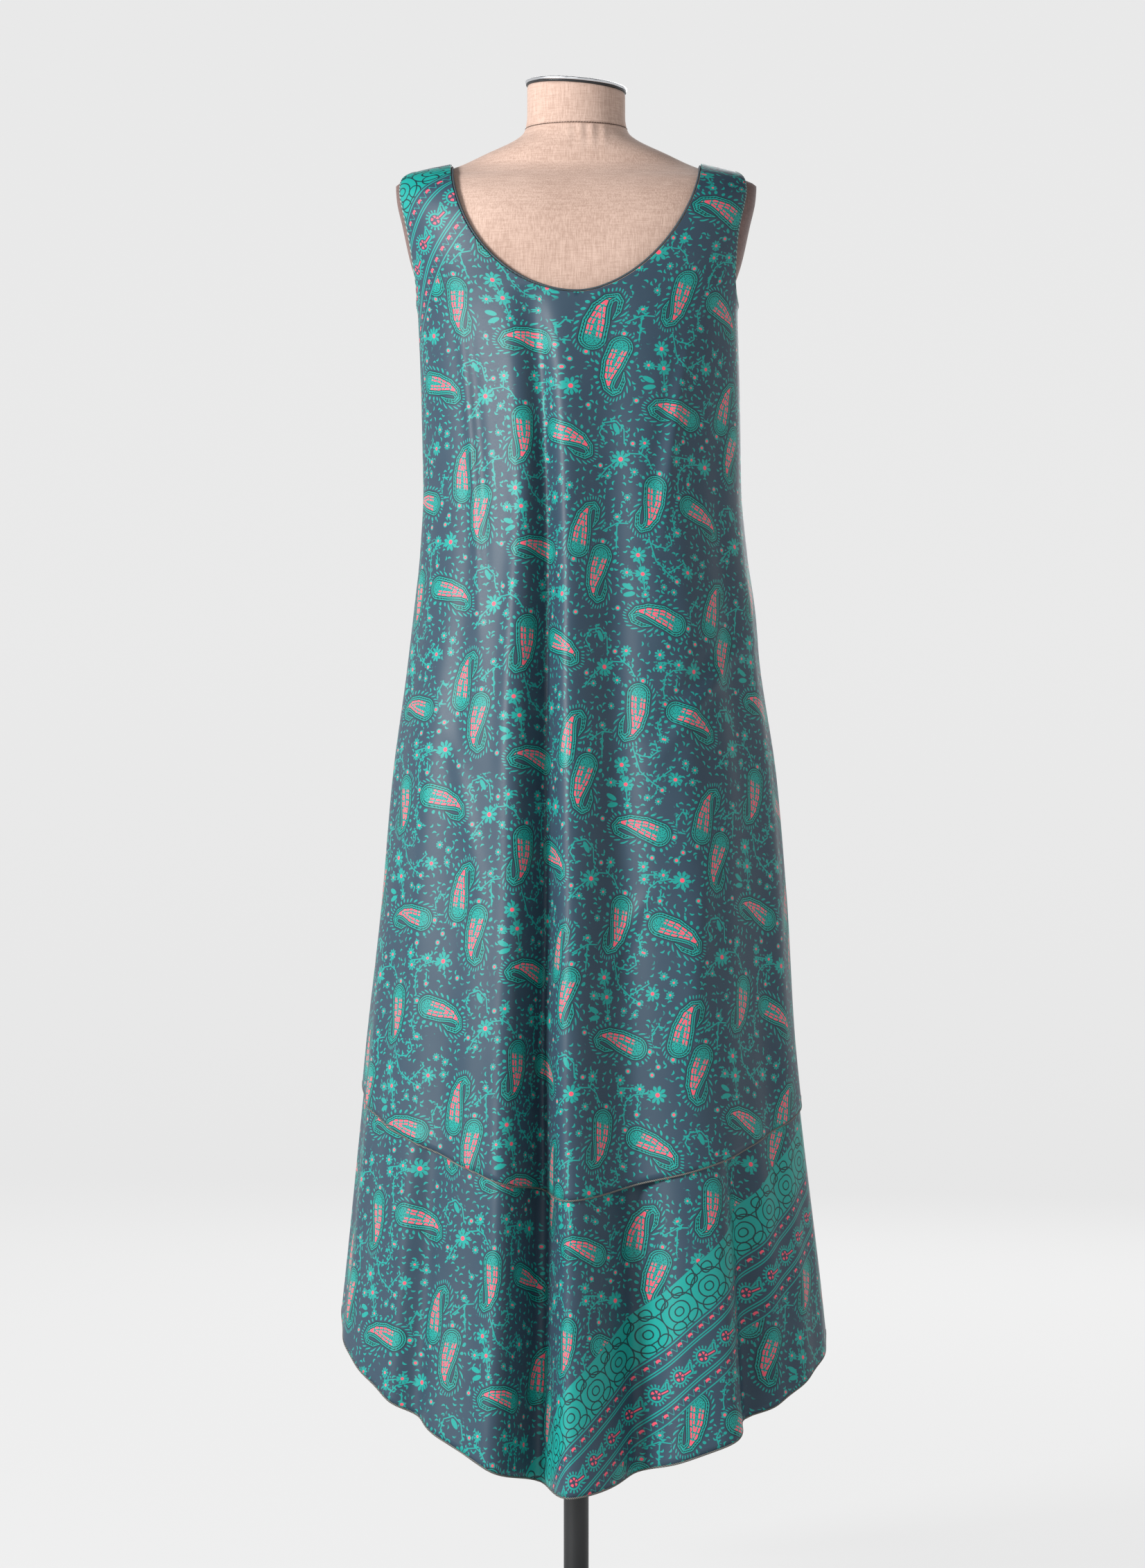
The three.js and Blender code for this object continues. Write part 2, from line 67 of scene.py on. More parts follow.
def section_at(table: Sequence[Sequence[float]], z: Any) -> np.ndarray:
    """Smooth sizes of a section at each height, with no overshoot between the stated rows.

    Args:
        table: rows of (height, size, size, ...), lowest first.
        z: heights, of any shape.

    Returns:
        An array with one leading axis for the sizes and then the shape of z.
    """
    rows = np.asarray(table, float)
    height = np.clip(np.asarray(z, float), rows[0, 0], rows[-1, 0])
    i = np.clip(np.searchsorted(rows[:, 0], height, side="left") - 1, 0, len(rows) - 2)
    step = np.diff(rows[:, 0])
    slope = np.diff(rows[:, 1:], axis=0) / step[:, None]
    tangent = np.zeros_like(rows[:, 1:])
    both = slope[:-1] * slope[1:]
    inner = np.where(both > 0, 2 * both / np.where(both > 0, slope[:-1] + slope[1:], 1), 0)
    tangent[1:-1] = inner
    tangent[0], tangent[-1] = slope[0], slope[-1]
    t = (height - rows[i, 0]) / step[i]
    sizes = []
    for k in range(rows.shape[1] - 1):
        start, end = rows[i, k + 1], rows[i + 1, k + 1]
        m0, m1 = tangent[i, k] * step[i], tangent[i + 1, k] * step[i]
        sizes.append(
            (2 * t**3 - 3 * t**2 + 1) * start + (t**3 - 2 * t**2 + t) * m0
            + (3 * t**2 - 2 * t**3) * end + (t**3 - t**2) * m1
        )
    return np.array(sizes)


def around_section(turn: Any, half_width: Any, depth: Any, squareness: Any) -> tuple[Any, Any]:
    """Point of a rounded section, where turn is 0 at its middle and -1 and 1 at its sides."""
    angle = turn * math.pi / 2
    power = 2 / squareness
    x = half_width * np.sign(angle) * np.abs(np.sin(angle)) ** power
    return x, depth * np.maximum(0, np.cos(angle)) ** power


def bell(off: Any) -> Any:
    """A smooth bump that is 1 at 0 and fades out by about 2."""
    return np.exp(-off * off)


# ---- meshes ------------------------------------------------------------------------------------


@dataclass
class Cloth:
    """A surface of quads with a flat pattern, before it is given a thickness."""

    points: np.ndarray
    quads: np.ndarray
    flat: np.ndarray
    seam: np.ndarray

    def normals(self) -> np.ndarray:
        """Unit normal of each corner, towards the side that the quads face; a seam's lie in its plane."""
        p = self.points[self.quads]
        face = np.cross(p[:, 2] - p[:, 0], p[:, 3] - p[:, 1])
        total = np.zeros_like(self.points)
        for corner in range(4):
            np.add.at(total, self.quads[:, corner], face)
        total[self.seam, 1] = 0
        return total / np.maximum(np.linalg.norm(total, axis=1, keepdims=True), 1e-12)

    def rim(self) -> np.ndarray:
        """Directed edges that only one quad has."""
        edges = np.concatenate([self.quads[:, [i, (i + 1) % 4]] for i in range(4)])
        key = edges[:, 0] * len(self.points) + edges[:, 1]
        other = edges[:, 1] * len(self.points) + edges[:, 0]
        return edges[~np.isin(key, other)]

    def shell(self, thickness: float) -> tuple[np.ndarray, np.ndarray, np.ndarray]:
        """The surface as a closed wall.

        Args:
            thickness: of the wall, half of it to each side.

        Returns:
            Points, faces, and the flat pattern of each point.
        """
        reach = self.normals() * (thickness / 2)
        count = len(self.points)
        edge = self.rim()
        walls = np.stack([edge[:, 1], edge[:, 0], edge[:, 0] + count, edge[:, 1] + count], axis=1)
        inner = self.quads[:, [0, 3, 2, 1]] + count
        points = np.concatenate([self.points + reach, self.points - reach])
        return points, np.concatenate([self.quads, inner, walls]), np.concatenate([self.flat] * 2)


class Maker:
    """Makes Blender objects that ride on the dress form's one body."""

    @staticmethod
    def mesh(
        name: str, points: np.ndarray, faces: Iterable[Sequence[int]],
        material: bpy.types.Material, flat: np.ndarray | None = None,
    ) -> bpy.types.Object:
        """A smooth-shaded object from points in millimetres.

        Args:
            name: of the piece.
            points: one row for each corner.
            faces: corner numbers of each face.
            material: the piece's finish.
            flat: the flat pattern of each corner, in millimetres, kept as a UV map in metres.

        Returns:
            The new object, linked into the scene.
        """
        mesh = bpy.data.meshes.new(name)
        mesh.from_pydata((np.asarray(points) * MM).tolist(), [], [list(map(int, f)) for f in faces])
        mesh.polygons.foreach_set("use_smooth", np.ones(len(mesh.polygons), bool))
        if flat is not None:
            corner = np.zeros(len(mesh.loops), np.int32)
            mesh.loops.foreach_get("vertex_index", corner)
            layer = mesh.uv_layers.new(name="Pattern")
            layer.data.foreach_set("uv", (flat[corner] * MM).astype(np.float32).ravel())
        mesh.materials.append(material)
        mesh.validate()
        mesh.update()
        obj = bpy.data.objects.new(name, mesh)
        bpy.context.scene.collection.objects.link(obj)
        return obj

    @classmethod
    def rings(
        cls, name: str, rings: np.ndarray, material: bpy.types.Material, closed: bool = False,
    ) -> bpy.types.Object:
        """A closed body through rings of points, all with the same count.

        Args:
            name: of the piece.
            rings: an array of (ring, point, 3).
            material: the piece's finish.
            closed: whether the last ring joins the first; otherwise both ends get a face.

        Returns:
            The new object.
        """
        count, sides, _ = rings.shape
        r, i = np.meshgrid(np.arange(count if closed else count - 1), np.arange(sides), indexing="ij")
        j, n = (i + 1) % sides, (r + 1) % count
        quads = np.stack([r * sides + i, r * sides + j, n * sides + j, n * sides + i], axis=-1)
        faces = quads.reshape(-1, 4).tolist()
        if not closed:
            faces += [list(range(sides))[::-1], [(count - 1) * sides + k for k in range(sides)]]
        return cls.outward(cls.mesh(name, rings.reshape(-1, 3), faces, material))

    @staticmethod
    def outward(obj: bpy.types.Object) -> bpy.types.Object:
        """Turns the faces of a closed body outwards."""
        work = bmesh.new()
        work.from_mesh(obj.data)
        bmesh.ops.recalc_face_normals(work, faces=work.faces)
        work.to_mesh(obj.data)
        work.free()
        return obj

    @classmethod
    def tube(
        cls, name: str, path: np.ndarray, across: np.ndarray, size: tuple[float, float],
        material: bpy.types.Material, closed: bool, sides: int = 8,
    ) -> bpy.types.Object:
        """A rounded strip along a path.

        Args:
            name: of the piece.
            path: its middle line.
            across: a direction square to the path at each of its points.
            size: half sizes along that direction and square to it.
            material: the piece's finish.
            closed: whether the path is a loop.
            sides: points around the strip.

        Returns:
            The new object.
        """
        if closed:
            along = np.roll(path, -1, axis=0) - np.roll(path, 1, axis=0)
        else:
            along = np.gradient(path, axis=0)
        along /= np.linalg.norm(along, axis=1, keepdims=True)
        across = across - (across * along).sum(1, keepdims=True) * along
        across /= np.linalg.norm(across, axis=1, keepdims=True)
        up = np.cross(along, across)
        angle = np.arange(sides) * 2 * math.pi / sides
        rings = (
            path[:, None] + across[:, None] * (size[0] * np.cos(angle))[None, :, None]
            + up[:, None] * (size[1] * np.sin(angle))[None, :, None]
        )
        return cls.rings(name, rings, material, closed)

    @classmethod
    def turned(
        cls, name: str, profile: Sequence[Point2], material: bpy.types.Material,
        sides: int = 96, slant: float = 0,
    ) -> bpy.types.Object:
        """A closed body turned about the upright axis.

        Args:
            name: of the piece.
            profile: (radius, height) from the lowest point to the highest.
            material: the piece's finish.
            sides: points around each ring.
            slant: fall of each ring towards +X, for each millimetre.

        Returns:
            The new object.
        """
        angle = np.arange(sides) * 2 * math.pi / sides
        rings = [
            np.stack([r * np.cos(angle), r * np.sin(angle), z - slant * r * np.cos(angle)], axis=1)
            for r, z in profile
        ]
        return cls.rings(name, np.array(rings), material)

    @staticmethod
    def place(obj: bpy.types.Object, slot: str, *nodes: str) -> bpy.types.Object:
        """Fixes a piece to the form and hides the solids it stands for."""
        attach(obj, "root")
        if nodes:
            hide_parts(*nodes)
        LOG.info("%s: %d faces", obj.name, len(obj.data.polygons))
        return obj


# ---- shader building ---------------------------------------------------------------------------


SCATTER = {"feature": "F1", "voronoi_dimensions": "2D"}


class Wire:
    """A shader socket that carries a number, so that sums on it become Math nodes."""

    def __init__(self, graph: "Graph", socket: bpy.types.NodeSocket) -> None:
        """Wraps a socket of a graph's node."""
        self.graph = graph
        self.socket = socket

    def __add__(self, other: "Wire | float") -> "Wire":
        """Sum."""
        return self.graph.math("ADD", self, other)

    def __sub__(self, other: "Wire | float") -> "Wire":
        """Difference."""
        return self.graph.math("SUBTRACT", self, other)

    def __rsub__(self, other: float) -> "Wire":
        """Difference from a number."""
        return self.graph.math("SUBTRACT", other, self)

    def __mul__(self, other: "Wire | float") -> "Wire":
        """Product."""
        return self.graph.math("MULTIPLY", self, other)

    def __truediv__(self, other: "Wire | float") -> "Wire":
        """Quotient."""
        return self.graph.math("DIVIDE", self, other)

    def __lt__(self, other: "Wire | float") -> "Wire":
        """1 where this is less, else 0."""
        return self.graph.math("LESS_THAN", self, other)

    def __gt__(self, other: "Wire | float") -> "Wire":
        """1 where this is more, else 0."""
        return self.graph.math("GREATER_THAN", self, other)

    def __abs__(self) -> "Wire":
        """Size without sign."""
        return self.graph.math("ABSOLUTE", self)

    __radd__ = __add__
    __rmul__ = __mul__


class Graph:
    """Adds nodes to one material."""

    def __init__(self, name: str) -> None:
        """Starts an empty material of that name."""
        self.material = bpy.data.materials.new(name)
        self.material.use_nodes = True
        self.tree = self.material.node_tree
        self.tree.nodes.clear()

    def node(
        self, kind: str, settings: dict[str, Any] | None = None,
        inputs: dict[Any, Any] | None = None, output: int | str = 0,
    ) -> Wire:
        """Adds a node.

        Args:
            kind: the node's type.
            settings: its properties, set before its sockets; "stops" are a ramp's (place, colour).
            inputs: values or wires by the socket's name or number.
            output: name or number of the socket that is returned.

        Returns:
            The chosen output.
        """
        node = self.tree.nodes.new(kind)
        for key, value in (settings or {}).items():
            if key == "stops":
                ramp = node.color_ramp
                while len(ramp.elements) < len(value):
                    ramp.elements.new(0.5)
                for element, (place, colour) in zip(ramp.elements, value):
                    element.position, element.color = place, (*colour, 1)
            else:
                setattr(node, key, value)
        for key, value in (inputs or {}).items():
            if isinstance(value, Wire):
                self.tree.links.new(value.socket, node.inputs[key])
            else:
                node.inputs[key].default_value = value
        return Wire(self, node.outputs[output])

    def math(self, operation: str, a: Any, b: Any = 0.0, c: Any = 0.0) -> Wire:
        """Adds a Math node."""
        return self.node("ShaderNodeMath", {"operation": operation}, {0: a, 1: b, 2: c})

    def held(self, value: Wire) -> Wire:
        """A number held between 0 and 1."""
        return self.node("ShaderNodeClamp", None, {0: value})

    def vector(self, operation: str, a: Any, b: Any = (0, 0, 0), output: int | str = 0) -> Wire:
        """Adds a Vector Math node on two vectors."""
        return self.node("ShaderNodeVectorMath", {"operation": operation}, {0: a, 1: b}, output)

    def scaled(self, a: Any, size: Any) -> Wire:
        """A vector times a number."""
        return self.node("ShaderNodeVectorMath", {"operation": "SCALE"}, {0: a, "Scale": size})

    def turned(self, vector: Wire, angle: Any) -> Wire:
        """A vector turned in its plane."""
        settings = {"rotation_type": "Z_AXIS"}
        return self.node("ShaderNodeVectorRotate", settings, {0: vector, "Angle": angle})

    def millimetres(self) -> Wire:
        """The place on the object, in millimetres."""
        return self.scaled(self.node("ShaderNodeTexCoord", None, None, "Object"), 1 / MM)

    def relief(self, strength: float, distance: float, height: Wire) -> Wire:
        """The normal of a surface with small bumps."""
        inputs = {"Strength": strength, "Distance": distance, "Height": height}
        return self.node("ShaderNodeBump", None, inputs)

    def parts(self, vector: Wire) -> tuple[Wire, Wire]:
        """The x and y of a vector."""
        x = self.node("ShaderNodeSeparateXYZ", None, {0: vector})
        return x, Wire(self, x.socket.node.outputs[1])

    def blend(self, share: Any, a: Any, b: Any) -> Wire:
        """Colour a where the share is 0 and b where it is 1."""
        settings = {"data_type": "RGBA", "clamp_factor": True}
        return self.node("ShaderNodeMix", settings, {0: share, 6: colour(a), 7: colour(b)}, 2)

    def between(self, share: Any, a: Any, b: Any) -> Wire:
        """Vector a where the share is 0 and b where it is 1."""
        return self.node("ShaderNodeMix", {"data_type": "VECTOR"}, {0: share, 4: a, 5: b}, 1)

    def least(self, a: Any, b: Any) -> Wire:
        """The smaller of two numbers."""
        return self.math("MINIMUM", a, b)

    def most(self, a: Any, b: Any) -> Wire:
        """The larger of two numbers."""
        return self.math("MAXIMUM", a, b)

    def ramp(self, value: Wire, start: float, end: float) -> Wire:
        """0 before the start, 1 past the end, and even between (the start may be above the end)."""
        rise = 1 / (end - start)
        return self.held(self.math("MULTIPLY_ADD", value, rise, -start * rise))

    def noise(self, where: Any, scale: float, detail: float = 2) -> Wire:
        """Cloudy noise."""
        inputs = {"Vector": where, "Scale": scale, "Detail": detail}
        return self.node("ShaderNodeTexNoise", None, inputs)

    def finish(self, **inputs: Any) -> bpy.types.Material:
        """Adds the surface shader and the output.

        Args:
            inputs: sockets of the surface shader, with _ for a space.

        Returns:
            The finished material.
        """
        named = {key.replace("_", " "): value for key, value in inputs.items()}
        named["Base Color"] = colour(named["Base Color"])
        shader = self.node("ShaderNodeBsdfPrincipled", None, named)
        self.node_output(shader)
        return self.material

    def node_output(self, shader: Wire) -> None:
        """Sends a shader to the material's output."""
        out = self.tree.nodes.new("ShaderNodeOutputMaterial")
        self.tree.links.new(shader.socket, out.inputs[0])


def colour(value: Any) -> Any:
    """A colour with its alpha, or a wire unchanged."""
    return value if isinstance(value, Wire) or len(value) == 4 else (*value, 1)


# ---- the cloth of the dress --------------------------------------------------------------------


class Side(Enum):
    """The two halves of the dress, valued by the way that they face along Y."""

    BACK = -1
    FRONT = 1


class Layer(Enum):
    """The two layers of each half."""

    OUTER = "outer"
    UNDER = "under"


@dataclass(frozen=True)
class Fold:
    """A hanging fold: where it runs at the chest and at the hem, its half width on the scale of
    turns, how far it stands out at the hem (negative: a valley) and its sideways tilt."""

    at: Point2
    wide: float
    out: float
    lean: float = 0

    def bump(self, turn: Any, down: Any) -> Any:
        """Share of the fold's full size at a turn, where down is 0 at its start and 1 at the hem."""
        return bell((turn - mix(self.at[0], self.at[1], down)) / self.wide) * down**0.62


@dataclass(frozen=True)
class Crease:
    """A soft line in the cloth from one (x, height) to another, bowed aside, that fades at its ends."""

    start: Point2
    end: Point2
    wide: float
    out: float
    bow: float = 0

    def push(self, x: Any, z: Any) -> Any:
        """How far the crease moves the cloth out at a place."""
        dx, dz = self.end[0] - self.start[0], self.end[1] - self.start[1]
        length = math.hypot(dx, dz)
        along = ((x - self.start[0]) * dx + (z - self.start[1]) * dz) / length**2
        aside = ((x - self.start[0]) * dz - (z - self.start[1]) * dx) / length
        here = np.clip(along, 0, 1)
        off = (aside - self.bow * 4 * here * (1 - here)) / self.wide
        return self.out * bell(off) * np.sin(math.pi * here) ** 0.8


@dataclass(frozen=True)
class Hem:
    """Height of a hem: its lowest point, where that lies, both side seams, and how straight it climbs."""

    at: float
    low: float
    left: float
    right: float
    power: float

    def height(self, turn: np.ndarray) -> np.ndarray:
        """Height at each turn."""
        end = np.where(turn < self.at, -1, 1)
        away = (turn - self.at) / (end - self.at)
        rounded = (np.sqrt(away**2 + 0.0036) - 0.06) / (math.sqrt(1.0036) - 0.06)
        return mix(self.low, np.where(end < 0, self.left, self.right), rounded**self.power)


@dataclass(frozen=True)
class PrintLay:
    """How a panel lies on the printed cloth: turned by degrees, then moved, in millimetres."""

    turned: float
    shift: Point2

    def apply(self, flat: np.ndarray) -> np.ndarray:
        """The panel's flat pattern laid on the cloth."""
        c, s = math.cos(math.radians(self.turned)), math.sin(math.radians(self.turned))
        return flat @ np.array([[c, s], [-s, c]]) + np.array(self.shift)


PATTERN_COLUMNS = 321
PATTERN_LEVELS = 363
PATTERN_FOOT = 130
DRESS_SECTIONS = (
    (120, 286, 224, 226, 2.1, 7), (347, 262, 209, 209, 2.1, 7), (617, 233, 192, 190, 2.1, 5),
    (797, 217.5, 182, 178, 2.1, 9), (917, 207, 172, 167, 2.1, 9), (1037, 190, 158, 154, 2.1, 8),
    (1097, 184, 150, 148, 2.1, 9), (1157, 176.5, 139, 142, 2.1, 8), (1232, 171.5, 127, 138, 2.1, 6.5),
    (1337, 172, 116, 137, 2.15, 4.5), (1412, 172.5, 109, 129, 2.3, 2), (1432, 175, 108.5, 125, 2.35, 1.3),
    (1473, 184, 107.5, 114, 2.5, 0.5), (1512, 192.5, 103, 103, 2.5, 0), (1542, 199.5, 93, 91, 2.35, 0),
    (1558, 201, 81.5, 79.5, 2.0, 0), (1565, 192, 76, 74, 1.85, 0), (1571, 171, 70, 68, 1.78, 0),
    (1580, 135, 64, 63, 1.75, 0),
)


@dataclass
class Panel:
    """The back or the front of the dress: the shape that both of its layers hang in.

    The cloth's middle surface is given by a turn, from -1 at the left side seam to 1 at the right
    one, and a height.
    """

    side: Side
    folds: Sequence[Fold]
    under_folds: Sequence[Fold]
    hems: dict[Layer, Hem]
    scoop: float
    reach: Point2
    rounding: Point2
    creases: Sequence[Crease] = ()
    columns: int = 190
    rows: tuple[int, int, int] = (152, 50, 44)
    shoulder: tuple[float, float] = (1580, 1571)
    neck_half_width: float = 135
    underarm: float = 1422
    folds_start: float = 1436
    under_folds_start: float = 640
    waist: float = 1232
    layer_step: float = 2.6
    neck: dict[Layer, np.ndarray] = field(default_factory=dict)
    armholes: dict[Layer, list[np.ndarray]] = field(default_factory=dict)
    hem_run: dict[Layer, np.ndarray] = field(default_factory=dict)

    def plain(self, turn: Any, z: Any) -> tuple[Any, Any]:
        """X and Y of the dress before its folds."""
        half_width, back, front, squareness, swing = section_at(DRESS_SECTIONS, z)
        depth = back if self.side is Side.BACK else front
        x, y = around_section(turn, half_width, depth, squareness)
        return x + swing, self.side.value * y

    def point(self, turn: np.ndarray, z: np.ndarray, layer: Layer) -> np.ndarray:
        """Points of the cloth at turns and heights, one row each."""
        facing = self.side.value
        x, y = self.plain(turn, z)
        x1, y1 = self.plain(np.minimum(1, turn + 0.01), z)
        x0, y0 = self.plain(np.maximum(-1, turn - 0.01), z)
        size = np.hypot(x1 - x0, y1 - y0)
        ax, ay = (x1 - x0) / size, (y1 - y0) / size
        near_seam = np.clip((1 - np.abs(turn)) * 6, 0, 1)
        out, lean = self.hang(self.folds, turn, z, self.folds_start, self.hems[Layer.OUTER].low)
        out = out + self.ripple(turn, z) + sum(crease.push(x, z) for crease in self.creases)
        if layer is Layer.UNDER:
            low = self.hems[Layer.UNDER].low
            out = out + self.hang(self.under_folds, turn, z, self.under_folds_start, low)[0]
        out, lean = out * near_seam, lean * near_seam
        return np.stack([
            x - facing * ay * out + ax * lean,
            y + facing * ax * out + ay * lean + facing * 0.2,
            z * np.ones_like(x),
        ], axis=-1)

    @staticmethod
    def hang(folds: Sequence[Fold], turn: Any, z: Any, start: float, low: float) -> tuple[Any, Any]:
        """How far a set of folds pushes the cloth out and sideways."""
        down = np.clip((start - z) / (start - low), 0, 1)
        out, lean = np.zeros_like(turn), np.zeros_like(turn)
        for fold in folds:
            bump = fold.bump(turn, down)
            out, lean = out + fold.out * bump, lean + fold.lean * bump
        return out, lean

    def ripple(self, turn: Any, z: Any) -> Any:
        """Slight waves of the hanging silk, stronger towards the hem."""
        down = np.clip((self.folds_start - 60 - z) / 900, 0, 1)
        wave = np.sin(turn * 23 + z * 0.004 + self.side.value) + 0.6 * np.sin(turn * 41 - z * 0.0065)
        slow = np.sin(z * 0.021 + turn * 9) * np.sin(turn * 7 - z * 0.007)
        return down * (1.5 * wave + 1.1 * slow) + 0.35 * slow * (z < self.folds_start)

    def neckline(self, side: int, t: np.ndarray) -> tuple[np.ndarray, np.ndarray]:
        """Turn and height of the neckline, from its lowest point (0) to the shoulder (1)."""
        power = 2 / self.rounding[0 if side < 0 else 1]
        angle = t * math.pi / 2
        x = self.neck_half_width * np.sin(angle) ** power
        z = self.shoulder[0] - self.scoop * np.maximum(0, np.cos(angle)) ** power
        half_width, _, _, squareness, _ = section_at(DRESS_SECTIONS, z)
        turn = np.arcsin(np.minimum(1, (x / half_width) ** (squareness / 2))) * 2 / math.pi
        return side * turn, z

    def armhole(self, side: int, t: np.ndarray) -> tuple[np.ndarray, np.ndarray]:
        """Turn and height of the armhole, from the underarm (0) to the shoulder (1)."""
        z = mix(self.underarm, self.shoulder[1], (1 - np.cos(t * math.pi)) / 2)
        y = self.reach[0 if side < 0 else 1] * np.maximum(0, np.sin(t * math.pi)) ** 0.8
        sizes = section_at(DRESS_SECTIONS, z)
        depth = sizes[1] if self.side is Side.BACK else sizes[2]
        turn = np.arccos(np.minimum(1, (y / depth) ** (sizes[3] / 2))) * 2 / math.pi
        return side * turn, z

    def places(self, layer: Layer) -> tuple[np.ndarray, np.ndarray, np.ndarray]:
        """Turn and height of every corner of a layer, and the quads between them.

        Args:
            layer: which layer; it sets how far down the panel reaches.

        Returns:
            Turns, heights, and quads that face out.
        """
        half = self.columns // 2
        column = np.linspace(-1, 1, 2 * half + 1)
        chest = mix(self.shoulder[0] - self.scoop, self.underarm, np.abs(column))
        stages = [(chest, self.hems[Layer.OUTER].height(column), self.rows[0])]
        if layer is Layer.UNDER:
            stages.append((stages[0][1], self.hems[Layer.UNDER].height(column), self.rows[1]))
        heights = [chest[None]]
        for above, below, rows in stages:
            t = (np.arange(1, rows + 1) / rows)[:, None]
            heights.append(mix(above[None], below[None], t))
        z = np.concatenate(heights)
        turn = np.broadcast_to(column, z.shape)
        number = np.arange(z.size).reshape(z.shape)
        grids, turns, levels = [number], [turn.ravel()], [z.ravel()]
        count = z.size
        t = np.linspace(0, 1, self.rows[2] + 1)[1:, None]
        straps = []
        for side in (-1, 1):
            own = slice(0, half + 1) if side < 0 else slice(half, None)
            across = np.abs(column[own])[None]
            (turn0, z0), (turn1, z1) = self.neckline(side, t), self.armhole(side, t)
            turns.append(mix(turn0, turn1, across).ravel())
            levels.append(mix(z0, z1, across).ravel())
            rows = np.arange(len(t) * (half + 1)).reshape(len(t), half + 1) + count
            count += rows.size
            straps.append(np.concatenate([number[:1, own], rows])[::-1])
        grids += straps
        self.neck[layer] = np.concatenate([straps[0][:, -1], straps[1][::-1, 0][1:]])
        self.armholes[layer] = [straps[0][::-1, 0], straps[1][::-1, -1]]
        self.hem_run[layer] = number[-1]
        quads = np.concatenate([
            np.stack([g[1:, :-1], g[1:, 1:], g[:-1, 1:], g[:-1, :-1]], axis=-1).reshape(-1, 4)
            for g in grids
        ])
        if self.side is Side.FRONT:
            quads = quads[:, ::-1]
        return np.concatenate(turns), np.concatenate(levels), quads

    def flat(self, turn: np.ndarray, z: np.ndarray) -> np.ndarray:
        """The cloth laid flat: each column becomes a straight line, fanned out as the skirt widens.

        Args:
            turn: of each point.
            z: height of each point.

        Returns:
            Across and down, in millimetres from the middle of the waist.
        """
        column = np.linspace(-1, 1, PATTERN_COLUMNS)
        level = np.linspace(DRESS_SECTIONS[-1][0], PATTERN_FOOT, PATTERN_LEVELS)
        c, h = np.meshgrid(column, level)
        cloth = self.point(c, h, Layer.OUTER)
        run = np.concatenate([
            np.zeros((1, len(column))), np.linalg.norm(np.diff(cloth, axis=0), axis=2).cumsum(0)])
        at_waist = int(np.argmin(np.abs(level - self.waist)))
        run -= run[at_waist]
        across = np.concatenate([
            np.zeros((len(level), 1)), np.linalg.norm(np.diff(cloth, axis=1), axis=2).cumsum(1)], axis=1)
        across -= across[:, len(column) // 2][:, None]
        low = int(np.argmin(np.abs(level - self.hems[Layer.OUTER].low)))
        fan = (across[low] - across[at_waist]) / (run[low] - run[at_waist])
        step = np.diff(across[at_waist])
        middle = (fan[1:] + fan[:-1]) / 2
        base_x = np.concatenate([[0], (np.cos(middle) * step).cumsum()])
        base_y = np.concatenate([[0], (-np.sin(middle) * step).cumsum()])
        centre = len(column) // 2
        base_x, base_y = base_x - base_x[centre], base_y - base_y[centre]
        ci = np.clip((turn + 1) / 2 * (len(column) - 1), 0, len(column) - 1.001)
        hi = np.clip((level[0] - z) / (level[0] - level[-1]) * (len(level) - 1), 0, len(level) - 1.001)
        c0, h0 = ci.astype(int), hi.astype(int)
        cf, hf = ci - c0, hi - h0
        down = mix(mix(run[h0, c0], run[h0, c0 + 1], cf), mix(run[h0 + 1, c0], run[h0 + 1, c0 + 1], cf), hf)
        angle = mix(fan[c0], fan[c0 + 1], cf)
        x = mix(base_x[c0], base_x[c0 + 1], cf) + np.sin(angle) * down
        y = mix(base_y[c0], base_y[c0 + 1], cf) + np.cos(angle) * down
        return np.stack([x, y], axis=1)

    def surface(self, layer: Layer, lay: PrintLay) -> Cloth:
        """The middle surface of a layer, with its flat pattern laid on the printed cloth."""
        turn, z, quads = self.places(layer)
        points = self.point(turn, z, layer)
        flat = lay.apply(self.flat(turn, z))
        seam = np.abs(turn) > 0.9999
        cloth = Cloth(points, quads, flat, seam)
        if layer is Layer.UNDER:
            cloth.points = points - cloth.normals() * self.layer_step
        return cloth


# ---- the print ---------------------------------------------------------------------------------


@dataclass(frozen=True)
class Paisley:
    """One paisley of the repeat: its middle, the turn of its axis from upright, and its hook's side."""

    at: Point2
    turned: float
    hook: int


